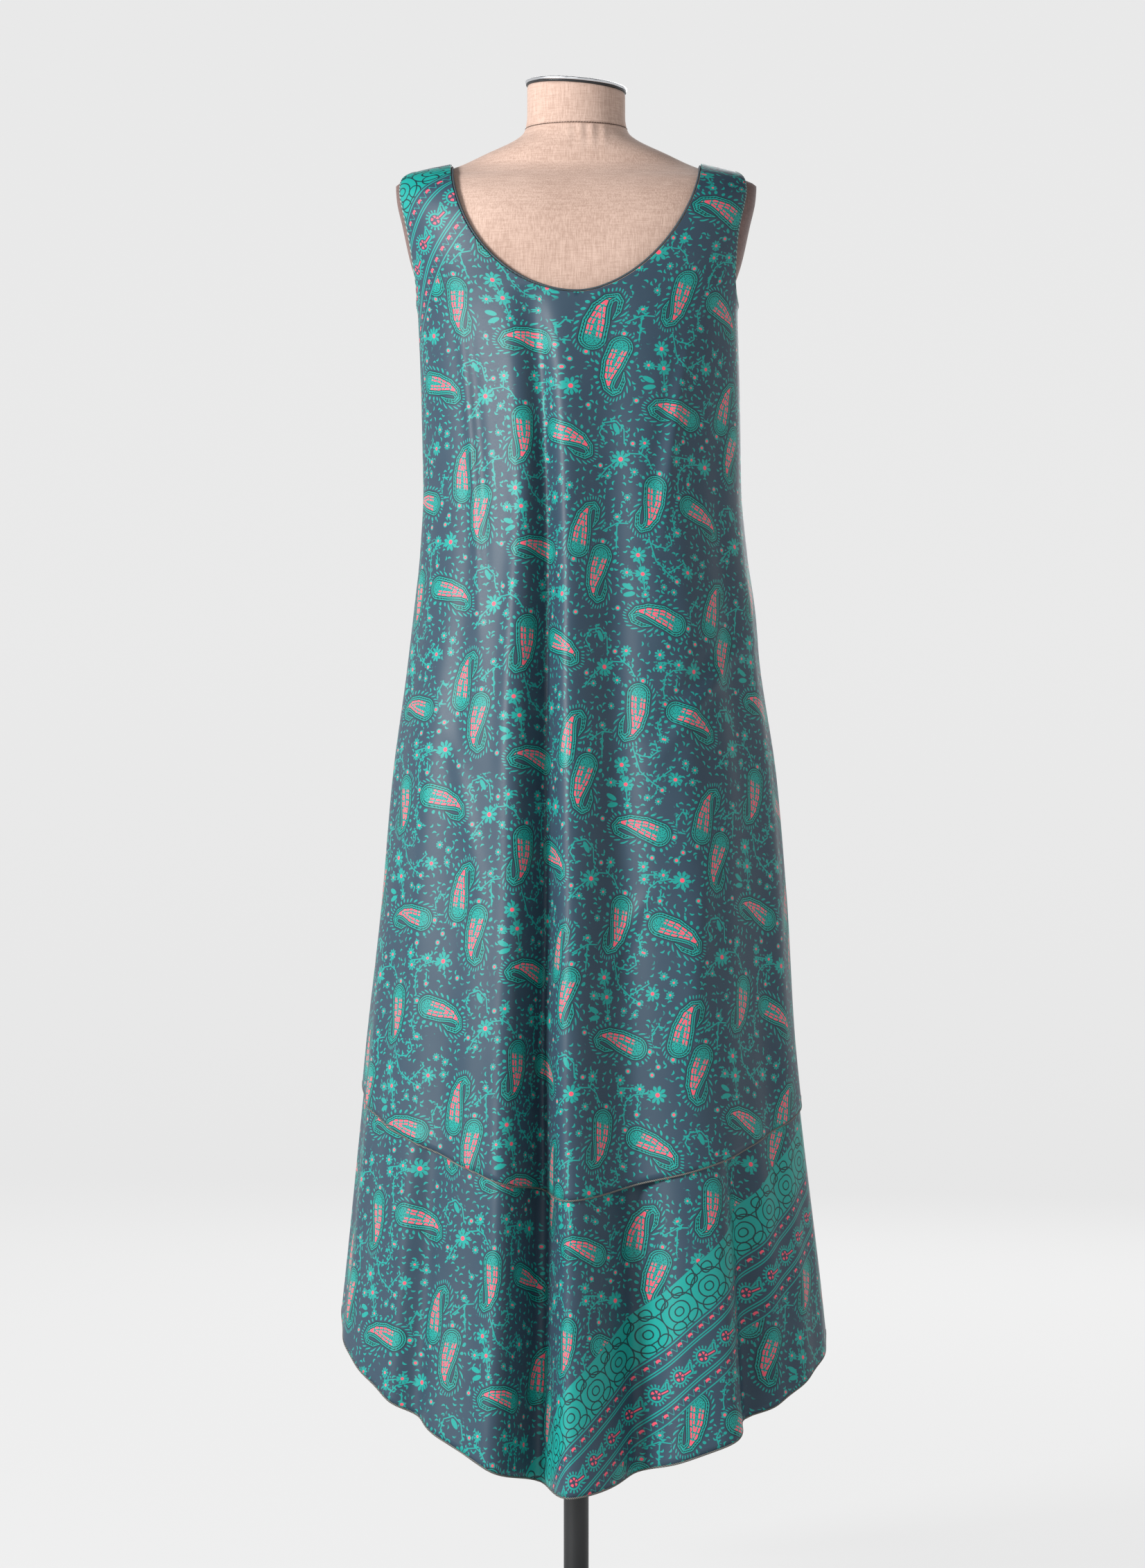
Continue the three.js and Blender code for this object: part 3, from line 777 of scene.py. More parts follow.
@dataclass(frozen=True)
class SilkPrint:
    """Printed silk satin: paisleys, flowers and vines on slate, with a woven-style border.

    The chart is in millimetres on the flat cloth, x to the right and y down. It repeats straight
    down by `drop` and sideways by `step`.
    """

    name: str = "printed_silk"
    drop: float = 223.5
    step: Point2 = (159, 65)
    corner: Point2 = (-66, -108)
    border_at: float = -371
    border_wide: float = 108
    band_wide: float = 45
    lines_at: tuple[float, ...] = (47, 59.5, 62, 92, 94.5, 107)
    guards_at: Point2 = (53.2, 100.8)
    small_at: float = 77
    lotus_pitch: float = 42
    small_pitch: float = 33
    slate: tuple[float, float, float] = (0.023, 0.047, 0.074)
    teal: tuple[float, float, float] = (0.003, 0.270, 0.235)
    deep: tuple[float, float, float] = (0.004, 0.026, 0.032)
    pink: tuple[float, float, float] = (0.78, 0.075, 0.125)
    paisleys: tuple[Paisley, ...] = (
        Paisley((2, 98), 12, -1), Paisley((-51, -45), 4, 1), Paisley((19, -3), 97, 1),
        Paisley((65, 101), -63, -1), Paisley((88, -25), -163, -1),
    )
    flowers: tuple[tuple[float, float, float], ...] = (
        (-35, 54, 10), (66, 46, 10), (-52, 124, 7), (-8, -69, 9), (-2, -49, 8.5), (-19, -49, 5.5),
        (49, -58, 8), (59, -77, 4.5), (70, -71, 4.5), (68, -58, 4.5), (35, -99, 4.5), (24, 35, 6),
        (26, 48, 6), (46, 42, 6), (-12, 34, 6), (-19, 66, 4.5), (-24, 94, 4), (33, 124, 4.5),
        (33, -34, 4), (21, -37, 4), (-33, -108, 4), (2, -27, 4.5), (-47, 73, 4), (-34, 116, 4),
    )
    buds: tuple[Point2, ...] = (
        (36, -46), (-26, -10), (-24, 36), (32, 25), (2, 67), (85, 65), (-56, 63), (-66, 46),
        (64, 17), (58, 26), (45, 69),
    )
    leaves: tuple[tuple[float, float, float], ...] = ((-17, -34, 20), (-15, -26, -15), (-43, 22, 60))
    vines: tuple[Curve, ...] = (
        ((0, -94), (4, -83), (11, -64), (25, -53), (40, -45)), ((25, -53), (44, -68)),
        ((4, -83), (12, -80), (21, -80), (28, -86), (26, -94), (20, -94)),
        ((-19, -102), (-33, -101), (-48, -91)), ((-33, -101), (-32, -72)),
        ((-38, 55), (-48, 64), (-57, 77)), ((-27, 47), (-14, 46), (-6, 51), (0, 62)),
        ((-33, 37), (-35, 22), (-44, 14), (-56, 17), (-60, 28), (-54, 37)),
        ((40, 49), (32, 57), (31, 72), (34, 87), (32, 98), (27, 110), (32, 123)),
        ((50, -3), (71, -3)), ((55, -4), (54, -16), (59, -25), (68, -24), (69, -17)),
        ((25, 43), (46, 42)), ((40, 49), (52, 46), (66, 46)), ((-12, 34), (-14, 46)),
        ((-8, -69), (-2, -49), (2, -27)), ((-19, -49), (-2, -49)), ((45, 57), (45, 69)),
    )

    def build(self) -> bpy.types.Material:
        """The finished material."""
        g = Graph(self.name)
        uv = g.node("ShaderNodeUVMap", {"uv_map": "Pattern"})
        cloth = g.scaled(uv, 1 / MM)
        cell = self.in_cell(g, cloth)
        sprigs = self.filler(g, cloth)
        vines = self.vine_lines(g, cell)
        teal, pink = self.flower_marks(g, cell)
        near = self.nearest_paisley(g, cloth)
        mark, clear, dark, rose = self.paisley_marks(g, near)
        ground = g.most(g.most(sprigs * clear, vines * clear), teal * clear)
        pink = g.most(pink * clear, rose)
        painted = g.blend(g.most(ground, mark), self.slate, self.teal)
        painted = g.blend(dark, painted, self.deep)
        painted = g.blend(pink, painted, self.pink)
        painted = self.with_border(g, cloth, painted)
        soft = g.noise(cloth, 0.02, 3)
        painted = g.blend(g.ramp(soft, 0.3, 0.8) * 0.14, painted, (0.07, 0.11, 0.14))
        grain = g.noise(g.vector("MULTIPLY", cloth, (1.6, 0.35, 1)), 1.2, 2)
        rough = g.ramp(grain, 0.2, 0.8) * 0.08 + 0.45
        bump = g.relief(0.05, 0.0003, grain)
        return g.finish(Base_Color=painted, Roughness=rough, Normal=bump,
                        Sheen_Weight=0.04, Sheen_Roughness=0.4, Specular_IOR_Level=0.28)

    def in_cell(self, g: Graph, cloth: Wire) -> Wire:
        """The place within one repeat of the chart."""
        x, y = g.parts(g.vector("SUBTRACT", cloth, (*self.corner, 0)))
        across = g.math("FLOOR", x / self.step[0])
        down = y - across * self.step[1]
        rest = down - g.math("FLOOR", down / self.drop) * self.drop
        return g.node("ShaderNodeCombineXYZ", None, {
            0: x - across * self.step[0] + self.corner[0], 1: rest + self.corner[1]})

    def copies(self, points: Curve, margin: float) -> list[list[Point2]]:
        """The repeats of a motif that reach into the cell.

        Args:
            points: of the motif.
            margin: how far it reaches past them.

        Returns:
            Each repeat's points.
        """
        width, height = self.step[0], self.drop
        found = []
        for i in (-1, 0, 1):
            for j in (-1, 0, 1):
                moved = [(x + i * width, y + i * self.step[1] + j * height) for x, y in points]
                xs, ys = [p[0] - self.corner[0] for p in moved], [p[1] - self.corner[1] for p in moved]
                if (max(xs) > -margin and min(xs) < width + margin
                        and max(ys) > -margin and min(ys) < height + margin):
                    found.append(moved)
        return found

    @staticmethod
    def line(g: Graph, place: Wire, start: Point2, end: Point2) -> tuple[Wire, Wire]:
        """Distance from a straight line between two points, and how far along it that is."""
        dx, dy = end[0] - start[0], end[1] - start[1]
        size = dx * dx + dy * dy
        off = g.vector("SUBTRACT", place, (*start, 0))
        here = g.held(g.vector("DOT_PRODUCT", off, (dx / size, dy / size, 0), "Value"))
        return g.vector("DISTANCE", off, g.scaled((dx, dy, 0), here), "Value"), here

    def vine_lines(self, g: Graph, cell: Wire) -> Wire:
        """Vines, with small leaves on both sides."""
        away: Any = FAR
        for vine in self.vines:
            for points in self.copies(vine, 4):
                for start, end in zip(points, points[1:]):
                    away = g.least(away, self.line(g, cell, start, end)[0])
        stem = g.ramp(away, 0.80, 0.42)
        leaf = self.scattered_leaves(g, cell, 0.17, (2.3, 0.95))
        beside = g.ramp(away, 4.2, 3.3)
        return g.most(stem, leaf * beside)

    def scattered_leaves(self, g: Graph, place: Wire, scale: float, size: Point2) -> Wire:
        """Small leaves, one in each cell of a scattering, each turned its own way."""
        inputs = {"Vector": place, "Scale": scale, "Randomness": 0.75}
        spots = g.node("ShaderNodeTexVoronoi", SCATTER, inputs, "Position")
        turn, _ = g.parts(Wire(g, spots.socket.node.outputs["Color"]))
        off = g.vector("SUBTRACT", place, spots)
        turned = g.turned(off, turn * 6.3)
        x, y = g.parts(turned)
        bent = y - x * x * 0.18
        long = g.math("POWER", abs(x) / size[0], 2.0)
        wide = g.math("POWER", abs(bent) / size[1], 2.0)
        return g.ramp(long + wide, 1.25, 0.75)

    def filler(self, g: Graph, cloth: Wire) -> Wire:
        """Small commas and sprigs that fill the open ground."""
        leaf = self.scattered_leaves(g, cloth, 0.118, (2.5, 0.95))
        patches = g.noise(cloth, 0.035, 1)
        return leaf * g.ramp(patches, 0.40, 0.47)

    def flower_marks(self, g: Graph, cell: Wire) -> tuple[Wire, Wire]:
        """Flowers, buds and large leaves: where they are teal and where pink."""
        best: Any = FAR
        chosen: Any = (FAR, FAR, 0.0)
        for x, y, size in self.flowers:
            for (at,) in self.copies([(x, y)], size):
                off = g.scaled(g.vector("SUBTRACT", cell, (*at, 0)), 1 / size)
                far = g.vector("LENGTH", off, output="Value")
                chosen = g.between(far < best, chosen, off)
                best = g.least(best, far)
        x, y = g.parts(chosen)
        angle = g.math("ARCTAN2", y, x)
        petal = g.math("COSINE", angle * 9.0)
        edge = petal * 0.13 + 0.86
        body = g.ramp(best - edge, 0.06, -0.06)
        split = g.ramp(petal, -0.85, -0.6)
        core = g.ramp(best, 0.46, 0.40)
        teal = body * g.most(split, core)
        pink = g.ramp(best, 0.26, 0.2)
        dots: Any = FAR
        for bud in self.buds:
            for (at,) in self.copies([bud], 5):
                dots = g.least(dots, g.vector("DISTANCE", cell, (*at, 0), "Value"))
        teal = g.most(teal, g.ramp(dots, 3.2, 2.7))
        pink = g.most(pink, g.ramp(dots, 1.7, 1.3))
        for x, y, turned in self.leaves:
            for (at,) in self.copies([(x, y)], 8):
                c, s = math.cos(math.radians(turned)), math.sin(math.radians(turned))
                off = g.vector("SUBTRACT", cell, (*at, 0))
                along = g.vector("DOT_PRODUCT", off, (c / 6.5, s / 6.5, 0), "Value")
                aside = g.vector("DOT_PRODUCT", off, (-s / 2.7, c / 2.7, 0), "Value")
                teal = g.most(teal, g.ramp(along * along + aside * aside, 1.1, 0.85))
        return teal, pink

    def nearest_paisley(self, g: Graph, cloth: Wire) -> Wire:
        """The place in the frame of the nearest paisley, whose round end is up and hook to the right."""
        best: Any = FAR
        chosen: Any = (FAR, FAR, 0.0)
        for paisley in self.paisleys:
            off = g.vector("SUBTRACT", cloth, (*paisley.at, 0))
            x, _ = g.parts(off)
            across = g.math("ROUND", x / self.step[0])
            off = g.vector("SUBTRACT", off, g.scaled((*self.step, 0), across))
            _, y = g.parts(off)
            down = g.math("ROUND", y / self.drop)
            off = g.vector("SUBTRACT", off, g.scaled((0, self.drop, 0), down))
            own = g.turned(off, math.radians(-paisley.turned))
            own = g.vector("MULTIPLY", own, (paisley.hook, -1, 1))
            far = g.vector("LENGTH", g.vector("MULTIPLY", own, (1 / 18, 1 / 38, 0)), output="Value")
            chosen = g.between(far < best, chosen, own)
            best = g.least(best, far)
        return chosen

    def paisley_marks(self, g: Graph, place: Wire) -> tuple[Wire, Wire, Wire, Wire]:
        """A paisley with its hook, bands, dashes and ring of leaves.

        Args:
            g: the graph.
            place: from nearest_paisley.

        Returns:
            Teal, the open ground around the paisley, dark and pink shares.
        """
        spine = ((1, 19, 12.3), (-2.5, 2, 11.6), (-4.6, -13, 8.6), (-3.2, -24, 5.4), (2.4, -29.5, 3.6),
                 (8, -26.5, 2.8), (10.4, -16, 2.5), (9.2, -6, 0.5))
        edge: Any = FAR
        for (x0, y0, r0), (x1, y1, r1) in zip(spine, spine[1:]):
            away, here = self.line(g, place, (x0, y0), (x1, y1))
            edge = g.least(edge, away - g.math("MULTIPLY_ADD", here, r1 - r0, r0))
        x, y = g.parts(place)
        angle = g.math("ARCTAN2", x, y * 0.42)
        body = g.ramp(edge, 0.3, -0.3)
        inputs = {"Vector": place, "Scale": 0.52, "Randomness": 0.8}
        mottle = g.node("ShaderNodeTexVoronoi", SCATTER, inputs)
        specks = g.ramp(mottle, 0.30, 0.22)
        scallop = g.math("SINE", angle * 44.0) * 0.35
        band = g.ramp(abs(edge + 1.7 + scallop), 0.75, 0.35)
        inner = g.ramp(abs(edge + 4.0), 0.65, 0.3)
        inside = g.ramp(edge, -4.0, -4.6)
        dark = g.most(g.most(band, inner), specks * inside * 0.85) * body
        outline = g.ramp(abs(edge - 0.5), 0.75, 0.35) * 0.9
        dark = g.most(dark, outline)
        dash = g.ramp(g.math("SINE", y * 0.86 + g.ramp(x, -0.1, 0.1) * 2.0), -0.82, -0.6)
        rows = g.most(g.ramp(abs(edge + 5.7), 1.15, 0.8), g.ramp(abs(edge + 9.0), 1.05, 0.7))
        lengthwise = g.ramp(y, 17, 14)
        rose = rows * dash * lengthwise * inside
        bud_off = g.vector("SUBTRACT", place, (1, 34.5, 0))
        bud = g.vector("LENGTH", bud_off, output="Value")
        rose = g.most(rose, g.ramp(bud, 1.8, 1.3))
        crown = g.ramp(bud, 3.6, 3.1)
        turn = angle * (34 / math.tau)
        beat = (turn - g.math("FLOOR", turn) - 0.5) * 5.2
        radial = edge - 4.2
        lean = beat - radial * 0.45
        comma = g.math("POWER", abs(lean) / 1.15, 2.0) + g.math("POWER", abs(radial) / 2.0, 2.0)
        ring = g.ramp(comma, 1.2, 0.75)
        teal = g.most(g.most(body, crown), ring)
        clear = g.ramp(edge, 6.3, 7.3)
        return teal, clear, dark, rose

    def with_border(self, g: Graph, cloth: Wire, painted: Wire) -> Wire:
        """Lays the straight border over the print: a lotus band, guard strips and small paisleys."""
        size = math.sqrt(2)
        inward = g.vector("DOT_PRODUCT", cloth, (1 / size, 1 / size, 0), "Value") - self.border_at
        along = g.vector("DOT_PRODUCT", cloth, (1 / size, -1 / size, 0), "Value")
        lotus = self.lotus(g, inward, along)
        half = self.border_wide / 2
        painted = g.blend(g.ramp(abs(inward - half), half + 0.4, half - 0.1), painted, self.slate)
        half = self.band_wide / 2
        band = g.ramp(abs(inward - half), half, half - 0.5)
        painted = g.blend(band, painted, self.teal)
        painted = g.blend(band * lotus, painted, self.deep)
        lines: Any = FAR
        for at in self.lines_at:
            lines = g.least(lines, abs(inward - at))
        painted = g.blend(g.ramp(lines, 0.8, 0.45), painted, self.teal)
        for at in self.guards_at:
            painted = self.guard(g, inward - at, along, painted)
        return self.small_paisleys(g, inward - self.small_at, along, painted)

    def lotus(self, g: Graph, inward: Wire, along: Wire) -> Wire:
        """Dark outlines of lotus hearts in the teal band, as rings round two rows of middles."""
        lines: Any = FAR
        hearts = (
            (0.0, 26.0, (16.5, 9.5, 4.0)), (0.5, 2.0, (13.0,)), (0.25, 40.0, (6.0,)),
            (0.75, 40.0, (6.0,)), (0.25, 9.0, (5.0,)), (0.75, 9.0, (5.0,)),
        )
        for start, height, radii in hearts:
            share = along / self.lotus_pitch + start
            beat = (share - g.math("ROUND", share)) * self.lotus_pitch
            off = g.node("ShaderNodeCombineXYZ", None, {0: beat, 1: inward - height})
            far = g.vector("LENGTH", off, output="Value") + abs(beat) * -0.22
            for radius in radii:
                lines = g.least(lines, abs(far - radius))
        return g.ramp(lines, 0.85, 0.4)

    def guard(self, g: Graph, off: Wire, along: Wire, painted: Wire) -> Wire:
        """A narrow strip of pink dashes and teal sprigs."""
        beat = g.math("SINE", along * 0.42)
        other = g.math("SINE", along * 0.84 + 1.0)
        pink = g.ramp(abs(off + beat * 1.2), 1.5, 1.0) * g.ramp(beat, 0.35, 0.6)
        sprig = g.ramp(abs(off + other * 2.6), 1.0, 0.6) * g.ramp(abs(off), 4.4, 4.0)
        painted = g.blend(sprig * 0.75, painted, self.teal)
        return g.blend(pink, painted, self.pink)

    def small_paisleys(self, g: Graph, off: Wire, along: Wire, painted: Wire) -> Wire:
        """A row of small fringed paisleys."""
        share = along / self.small_pitch
        beat = (share - g.math("ROUND", share)) * self.small_pitch
        place = g.node("ShaderNodeCombineXYZ", None, {0: beat, 1: off})
        edge = g.vector("DISTANCE", place, (-4, 1, 0), "Value") - 7.5
        for start, end, radius in (((2, 3), (9, 4), 3.4), ((9, 4), (13, -2), 2.2)):
            edge = g.least(edge, self.line(g, place, start, end)[0] - radius)
        x, y = g.parts(place)
        angle = g.math("ARCTAN2", y - 1, x + 3)
        spokes = g.ramp(g.math("SINE", angle * 17.0), 0.0, 0.3) * g.ramp(abs(edge - 2.2), 1.7, 1.3)
        teal = g.most(spokes, g.ramp(abs(edge + 0.6), 1.1, 0.7))
        painted = g.blend(teal, painted, self.teal)
        dash = g.ramp(abs(edge + 4.0), 1.5, 1.0) * g.ramp(g.math("SINE", angle * 5.0), -0.3, 0.1)
        return g.blend(dash, painted, self.pink)


# ---- the other finishes ------------------------------------------------------------------------


@dataclass(frozen=True)
class WovenFinish:
    """A plain woven cloth: crossing threads with slubs, and a little shade from place to place."""

    name: str
    base: tuple[float, float, float]
    shade: tuple[float, float, float]
    thread: float = 1.1
    blotch: float = 0.35
    relief: float = 0.35
    roughness: float = 0.9
    sheen: float = 0.15

    def build(self) -> bpy.types.Material:
        """The finished material."""
        g = Graph(self.name)
        place = g.millimetres()
        warp = g.noise(g.vector("MULTIPLY", place, (1 / self.thread, 1 / self.thread, 0.07)), 1.0, 1)
        weft = g.noise(g.vector("MULTIPLY", place, (0.06, 0.06, 1 / self.thread)), 1.0, 1)
        cross = warp * 0.6 + weft * 0.4
        cloudy = g.noise(place, 0.012, 3)
        speck = g.noise(place, 0.55, 1)
        share = g.ramp(cross, 0.38, 0.62) * 0.55 + g.ramp(cloudy, 0.35, 0.75) * self.blotch
        share = share + g.ramp(speck, 0.58, 0.72) * 0.25
        bump = g.relief(self.relief, 0.0004, cross)
        return g.finish(Base_Color=g.blend(share, self.base, self.shade),
                        Roughness=g.ramp(cross, 0.3, 0.7) * 0.06 + (self.roughness - 0.03),
                        Normal=bump, Sheen_Weight=self.sheen, Sheen_Roughness=0.5)


@dataclass(frozen=True)
class MetalFinish:
    """Bare or painted metal with faint brushing, smears and rubbed spots."""

    name: str
    base: tuple[float, float, float]
    worn: tuple[float, float, float]
    metallic: float
    roughness: float

    def build(self) -> bpy.types.Material:
        """The finished material."""
        g = Graph(self.name)
        place = g.millimetres()
        smear = g.noise(g.vector("MULTIPLY", place, (0.05, 0.05, 0.011)), 1.0, 3)
        grain = g.noise(place, 0.8, 3)
        rough = g.ramp(smear, 0.3, 0.7) * 0.14 + g.ramp(grain, 0.4, 0.7) * 0.05 + self.roughness
        bump = g.relief(0.06, 0.0002, grain)
        return g.finish(Base_Color=g.blend(g.ramp(smear, 0.5, 0.8), self.base, self.worn),
                        Roughness=rough, Normal=bump, Metallic=self.metallic)


@dataclass(frozen=True)
class ThreadFinish:
    """Overlocked or rolled edge: threads wound round the cloth at an even pitch."""

    name: str
    light: tuple[float, float, float]
    dark: tuple[float, float, float]
    pitch: float = 2.2

    def build(self) -> bpy.types.Material:
        """The finished material."""
        g = Graph(self.name)
        place = g.millimetres()
        wound = g.math("SINE", g.vector("DOT_PRODUCT", place, (1, 0.6, 1), "Value") * (math.tau / self.pitch))
        fuzz = g.noise(place, 0.9, 2)
        share = g.ramp(wound + fuzz, 0.0, 1.4)
        bump = g.relief(0.4, 0.0004, wound)
        return g.finish(Base_Color=g.blend(share, self.dark, self.light),
                        Roughness=g.ramp(fuzz, 0.3, 0.7) * 0.1 + 0.72, Normal=bump)


# ---- the dress form and its stand --------------------------------------------------------------

FORM_SECTIONS = (
    (930, 132, 90, 86, 2.2), (944, 147, 100, 95, 2.2), (1000, 160, 107, 104, 2.2),
    (1060, 159, 105, 106, 2.2), (1150, 137, 92, 97, 2.1), (1225, 121, 84, 90, 2.1),
    (1310, 134, 90, 104, 2.1), (1380, 152, 98, 121, 2.2), (1430, 165, 101, 117, 2.35),
    (1472, 179, 102, 108, 2.5), (1510, 187.5, 98, 98, 2.5), (1540, 194, 86.5, 84.5, 2.35),
    (1555, 195, 75, 73, 2.0), (1561, 185, 69, 67, 1.85), (1566, 165, 64, 62, 1.75),
    (1575, 132, 58.5, 57.5, 1.75), (1590, 98, 57, 58, 1.9), (1605, 66, 54.5, 56, 2.0),
    (1612, 57.5, 53.7, 54.6, 2.0), (1617, 55, 53, 54, 2.0),
)


@dataclass
class DressForm:
    """The limbless canvas form: torso, arm caps, neck, its seam stitches and its metal cap."""

    canvas: bpy.types.Material
    velvet: bpy.types.Material
    chrome: bpy.types.Material
    steel: bpy.types.Material
    thread: bpy.types.Material
    arm_plane: float = 168
    gap: float = 0.3
    neck_seam: float = 1617
    neck_top: float = 1660
    neck_slant: float = 0.078
    neck_radius: float = 53
    cap_thick: float = 6.5
    sides: int = 176
    gathers: tuple[tuple[float, float], ...] = ((5, 1.3), (17, 1.6), (30, 1.2), (-9, 0.6))

    def build(self) -> None:
        """Builds every piece of the form."""
        self.torso()
        for side, word in ((-1, "left"), (1, "right")):
            self.arm_cap(side, word)
        self.neck()
        self.cap()
        self.stitches()

    def heights(self) -> np.ndarray:
        """Heights of the torso's rings, closest together at the shoulders."""
        return np.concatenate([
            np.linspace(930, 944, 6), np.linspace(956, 1430, 40), np.linspace(1440, 1550, 23),
            np.linspace(1553, self.neck_seam, 44)])

    def ring(self, z: float) -> np.ndarray:
        """One ring of the torso."""
        half_width, back, front, squareness = section_at(FORM_SECTIONS, z)
        quarter = np.arange(self.sides) * 4 / self.sides
        over_back = quarter < 2
        turn = np.where(over_back, quarter - 1, 3 - quarter)
        x, y = around_section(turn, half_width, np.where(over_back, back, front), squareness)
        y = np.where(over_back, -y, y)
        pleat = sum(out * bell((x - at) / 3.6) for at, out in self.gathers)
        fade = bell((z - 1608) / 17) * (z < self.neck_seam - 1)
        y = np.where(over_back, y - pleat * fade + 0.5 * fade, y)
        return np.stack([np.clip(x, -self.arm_plane, self.arm_plane), y, np.full(self.sides, z)], axis=1)

    def torso(self) -> None:
        """The canvas torso, flat where the arm caps sit."""
        rings = np.array([self.ring(z) for z in self.heights()])
        Maker.place(Maker.rings("form_torso_canvas", rings, self.canvas), "canvas", "form_torso")

    def arm_cap(self, side: int, word: str) -> None:
        """The rounded end of a shoulder, covered in darker cloth.

        Args:
            side: -1 for the left and 1 for the right.
            word: for its name.
        """
        start = self.arm_plane + self.gap
        levels = np.linspace(1430, 1570, 1401)
        wide = levels[section_at(FORM_SECTIONS, levels)[0] > start + 0.15]
        ease = (1 - np.cos(np.linspace(0, math.pi, 34))) / 2
        rings = []
        for z in mix(wide[0], wide[-1], ease):
            half_width, back, front, squareness = section_at(FORM_SECTIONS, z)
            turn0 = math.asin((start / half_width) ** (squareness / 2)) * 2 / math.pi
            turn = np.linspace(turn0, 1, 22)
            xb, yb = around_section(turn, half_width, back, squareness)
            xf, yf = around_section(turn[::-1][1:], half_width, front, squareness)
            chord = np.linspace(yf[-1], -yb[0], 14)[1:-1]
            x = np.concatenate([xb, xf, np.full(len(chord), start)])
            y = np.concatenate([-yb, yf, chord])
            rings.append(np.stack([side * x, y, np.full(len(x), z)], axis=1))
        obj = Maker.rings(f"form_arm_cap_{word}_cover", np.array(rings), self.velvet)
        Maker.place(obj, "velvet", f"form_arm_cap_{word}")

    def neck(self) -> None:
        """The neck, cut off at a slant."""
        heights = np.linspace(self.neck_seam + self.gap, self.neck_top, 16)
        rings = []
        angle = np.arange(self.sides) * math.tau / self.sides
        for i, z in enumerate(heights):
            radius = self.neck_radius + 1.5 * bell(i / 2.5) - 0.6 * (i == len(heights) - 1)
            x = radius * np.cos(angle)
            slant = self.neck_slant * x * i / (len(heights) - 1)
            rings.append(np.stack([x, radius * np.sin(angle), z - slant], axis=1))
        Maker.place(Maker.rings("form_neck_canvas", np.array(rings), self.canvas), "canvas", "form_neck")

    def cap(self) -> None:
        """The metal cap on a dark plate."""
        foot = self.neck_top + self.gap
        edge, top = self.neck_radius + 2, foot + self.cap_thick
        plate = Maker.turned("form_neck_plate", [
            (AXIS, foot), (edge - 1.2, foot), (edge - 0.8, foot + 0.5),
            (edge - 0.8, foot + 1.6), (AXIS, foot + 1.6),
        ], self.steel, slant=self.neck_slant)
        Maker.place(plate, "steel")
        profile = [(AXIS, foot + 1.8), (edge - 1.6, foot + 1.8)]
        profile += [(edge - 1.6 + 1.6 * math.sin(a), foot + 3.4 - 1.6 * math.cos(a))
                    for a in np.linspace(0.3, math.pi / 2, 6)]
        profile += [(edge - 2.2 + 2.2 * math.cos(a), top - 2.2 + 1.2 * math.sin(a))
                    for a in np.linspace(0.1, math.pi / 2, 7)]
        profile += [(edge - 9, top - 0.6), (edge - 14, top - 0.2), (22, top), (AXIS, top)]
        disc = Maker.turned("form_neck_cap_disc", profile, self.chrome, slant=self.neck_slant)
        Maker.place(disc, "chrome", "form_neck_cap")

    def stitches(self) -> None:
        """Short stitches round the neck seam, joined as one piece."""
        points, faces = [], []
        count = 116
        for k in range(count):
            middle = k * math.tau / count
            reach = 0.42 * math.tau / count
            radius = self.neck_radius + 2.0
            ring = []
            for t in np.linspace(-1, 1, 5):
                a = middle + reach * t
                size = 0.42 * math.sqrt(max(0.05, 1 - t * t * 0.95))
                for b in np.arange(6) * math.tau / 6:
                    r = radius + size * math.cos(b)
                    ring.append((r * math.cos(a), r * math.sin(a), self.neck_seam + 0.2 + size * math.sin(b)))
            base = len(points)
            points += ring
            for s in range(4):
                for i in range(6):
                    j = (i + 1) % 6
                    low, high = base + s * 6, base + (s + 1) * 6
                    faces.append([low + i, low + j, high + j, high + i])
            faces += [[base + i for i in range(6)][::-1], [base + 24 + i for i in range(6)]]
        obj = Maker.outward(Maker.mesh("form_neck_stitches", np.array(points), faces, self.thread))
        Maker.place(obj, "canvas")


@dataclass
class Stand:
    """The round foot with its boss, the pole and the collar under the form."""

    steel: bpy.types.Material
    foot_radius: float = 160
    foot_thick: float = 12
    boss_top: float = 46
    pole_radius: float = 13.5
    collar_radius: float = 22
    collar_height: float = 34
    form_bottom: float = 930
    gap: float = 0.3

    def build(self) -> None:
        """Builds the three pieces."""
        r, t = self.foot_radius, self.foot_thick
        rim = [(r - 3 + 3 * math.sin(a), t - 3 + 3 * math.cos(a)) for a in np.linspace(math.pi / 2, 0, 6)]
        boss = self.boss_top
        slope = [(120, t + 0.8), (80, t + 1.6), (44, t + 2.8), (34, t + 5), (28, t + 9), (25, t + 15),
                 (23, t + 24), (22, boss - 2), (21.4, boss - 0.6), (20, boss), (AXIS, boss)]
        under = [(AXIS, 0), (r - 2, 0), (r - 0.6, 0.5), (r, 2)]
        foot = Maker.turned("stand_foot_cover", [*under, *rim, *slope], self.steel, 160)
        Maker.place(foot, "steel", "stand_foot")
        top = self.form_bottom - self.gap
        start, radius = boss + self.gap, self.pole_radius
        levels = [start, *np.linspace(start + 1, top - 1, 14), top]
        wall = [(radius, z) for z in levels]
        pole = Maker.turned("stand_pole_tube", [(AXIS, start), *wall, (AXIS, top)], self.steel, 72)
        Maker.place(pole, "steel", "stand_pole")
        low, inner, outer = top - self.collar_height, self.pole_radius + self.gap, self.collar_radius
        angle = np.arange(80) * math.tau / 80
        profile = [(inner, low), (outer - 2, low), (outer - 0.6, low + 0.6), (outer, low + 2),
                   (outer, top - 1), (outer - 0.5, top), (inner, top)]
        rings = np.array([[(rr * math.cos(a), rr * math.sin(a), z) for rr, z in profile] for a in angle])
        Maker.place(Maker.rings("stand_collar_ring", rings, self.steel, closed=True), "steel", "stand_collar")


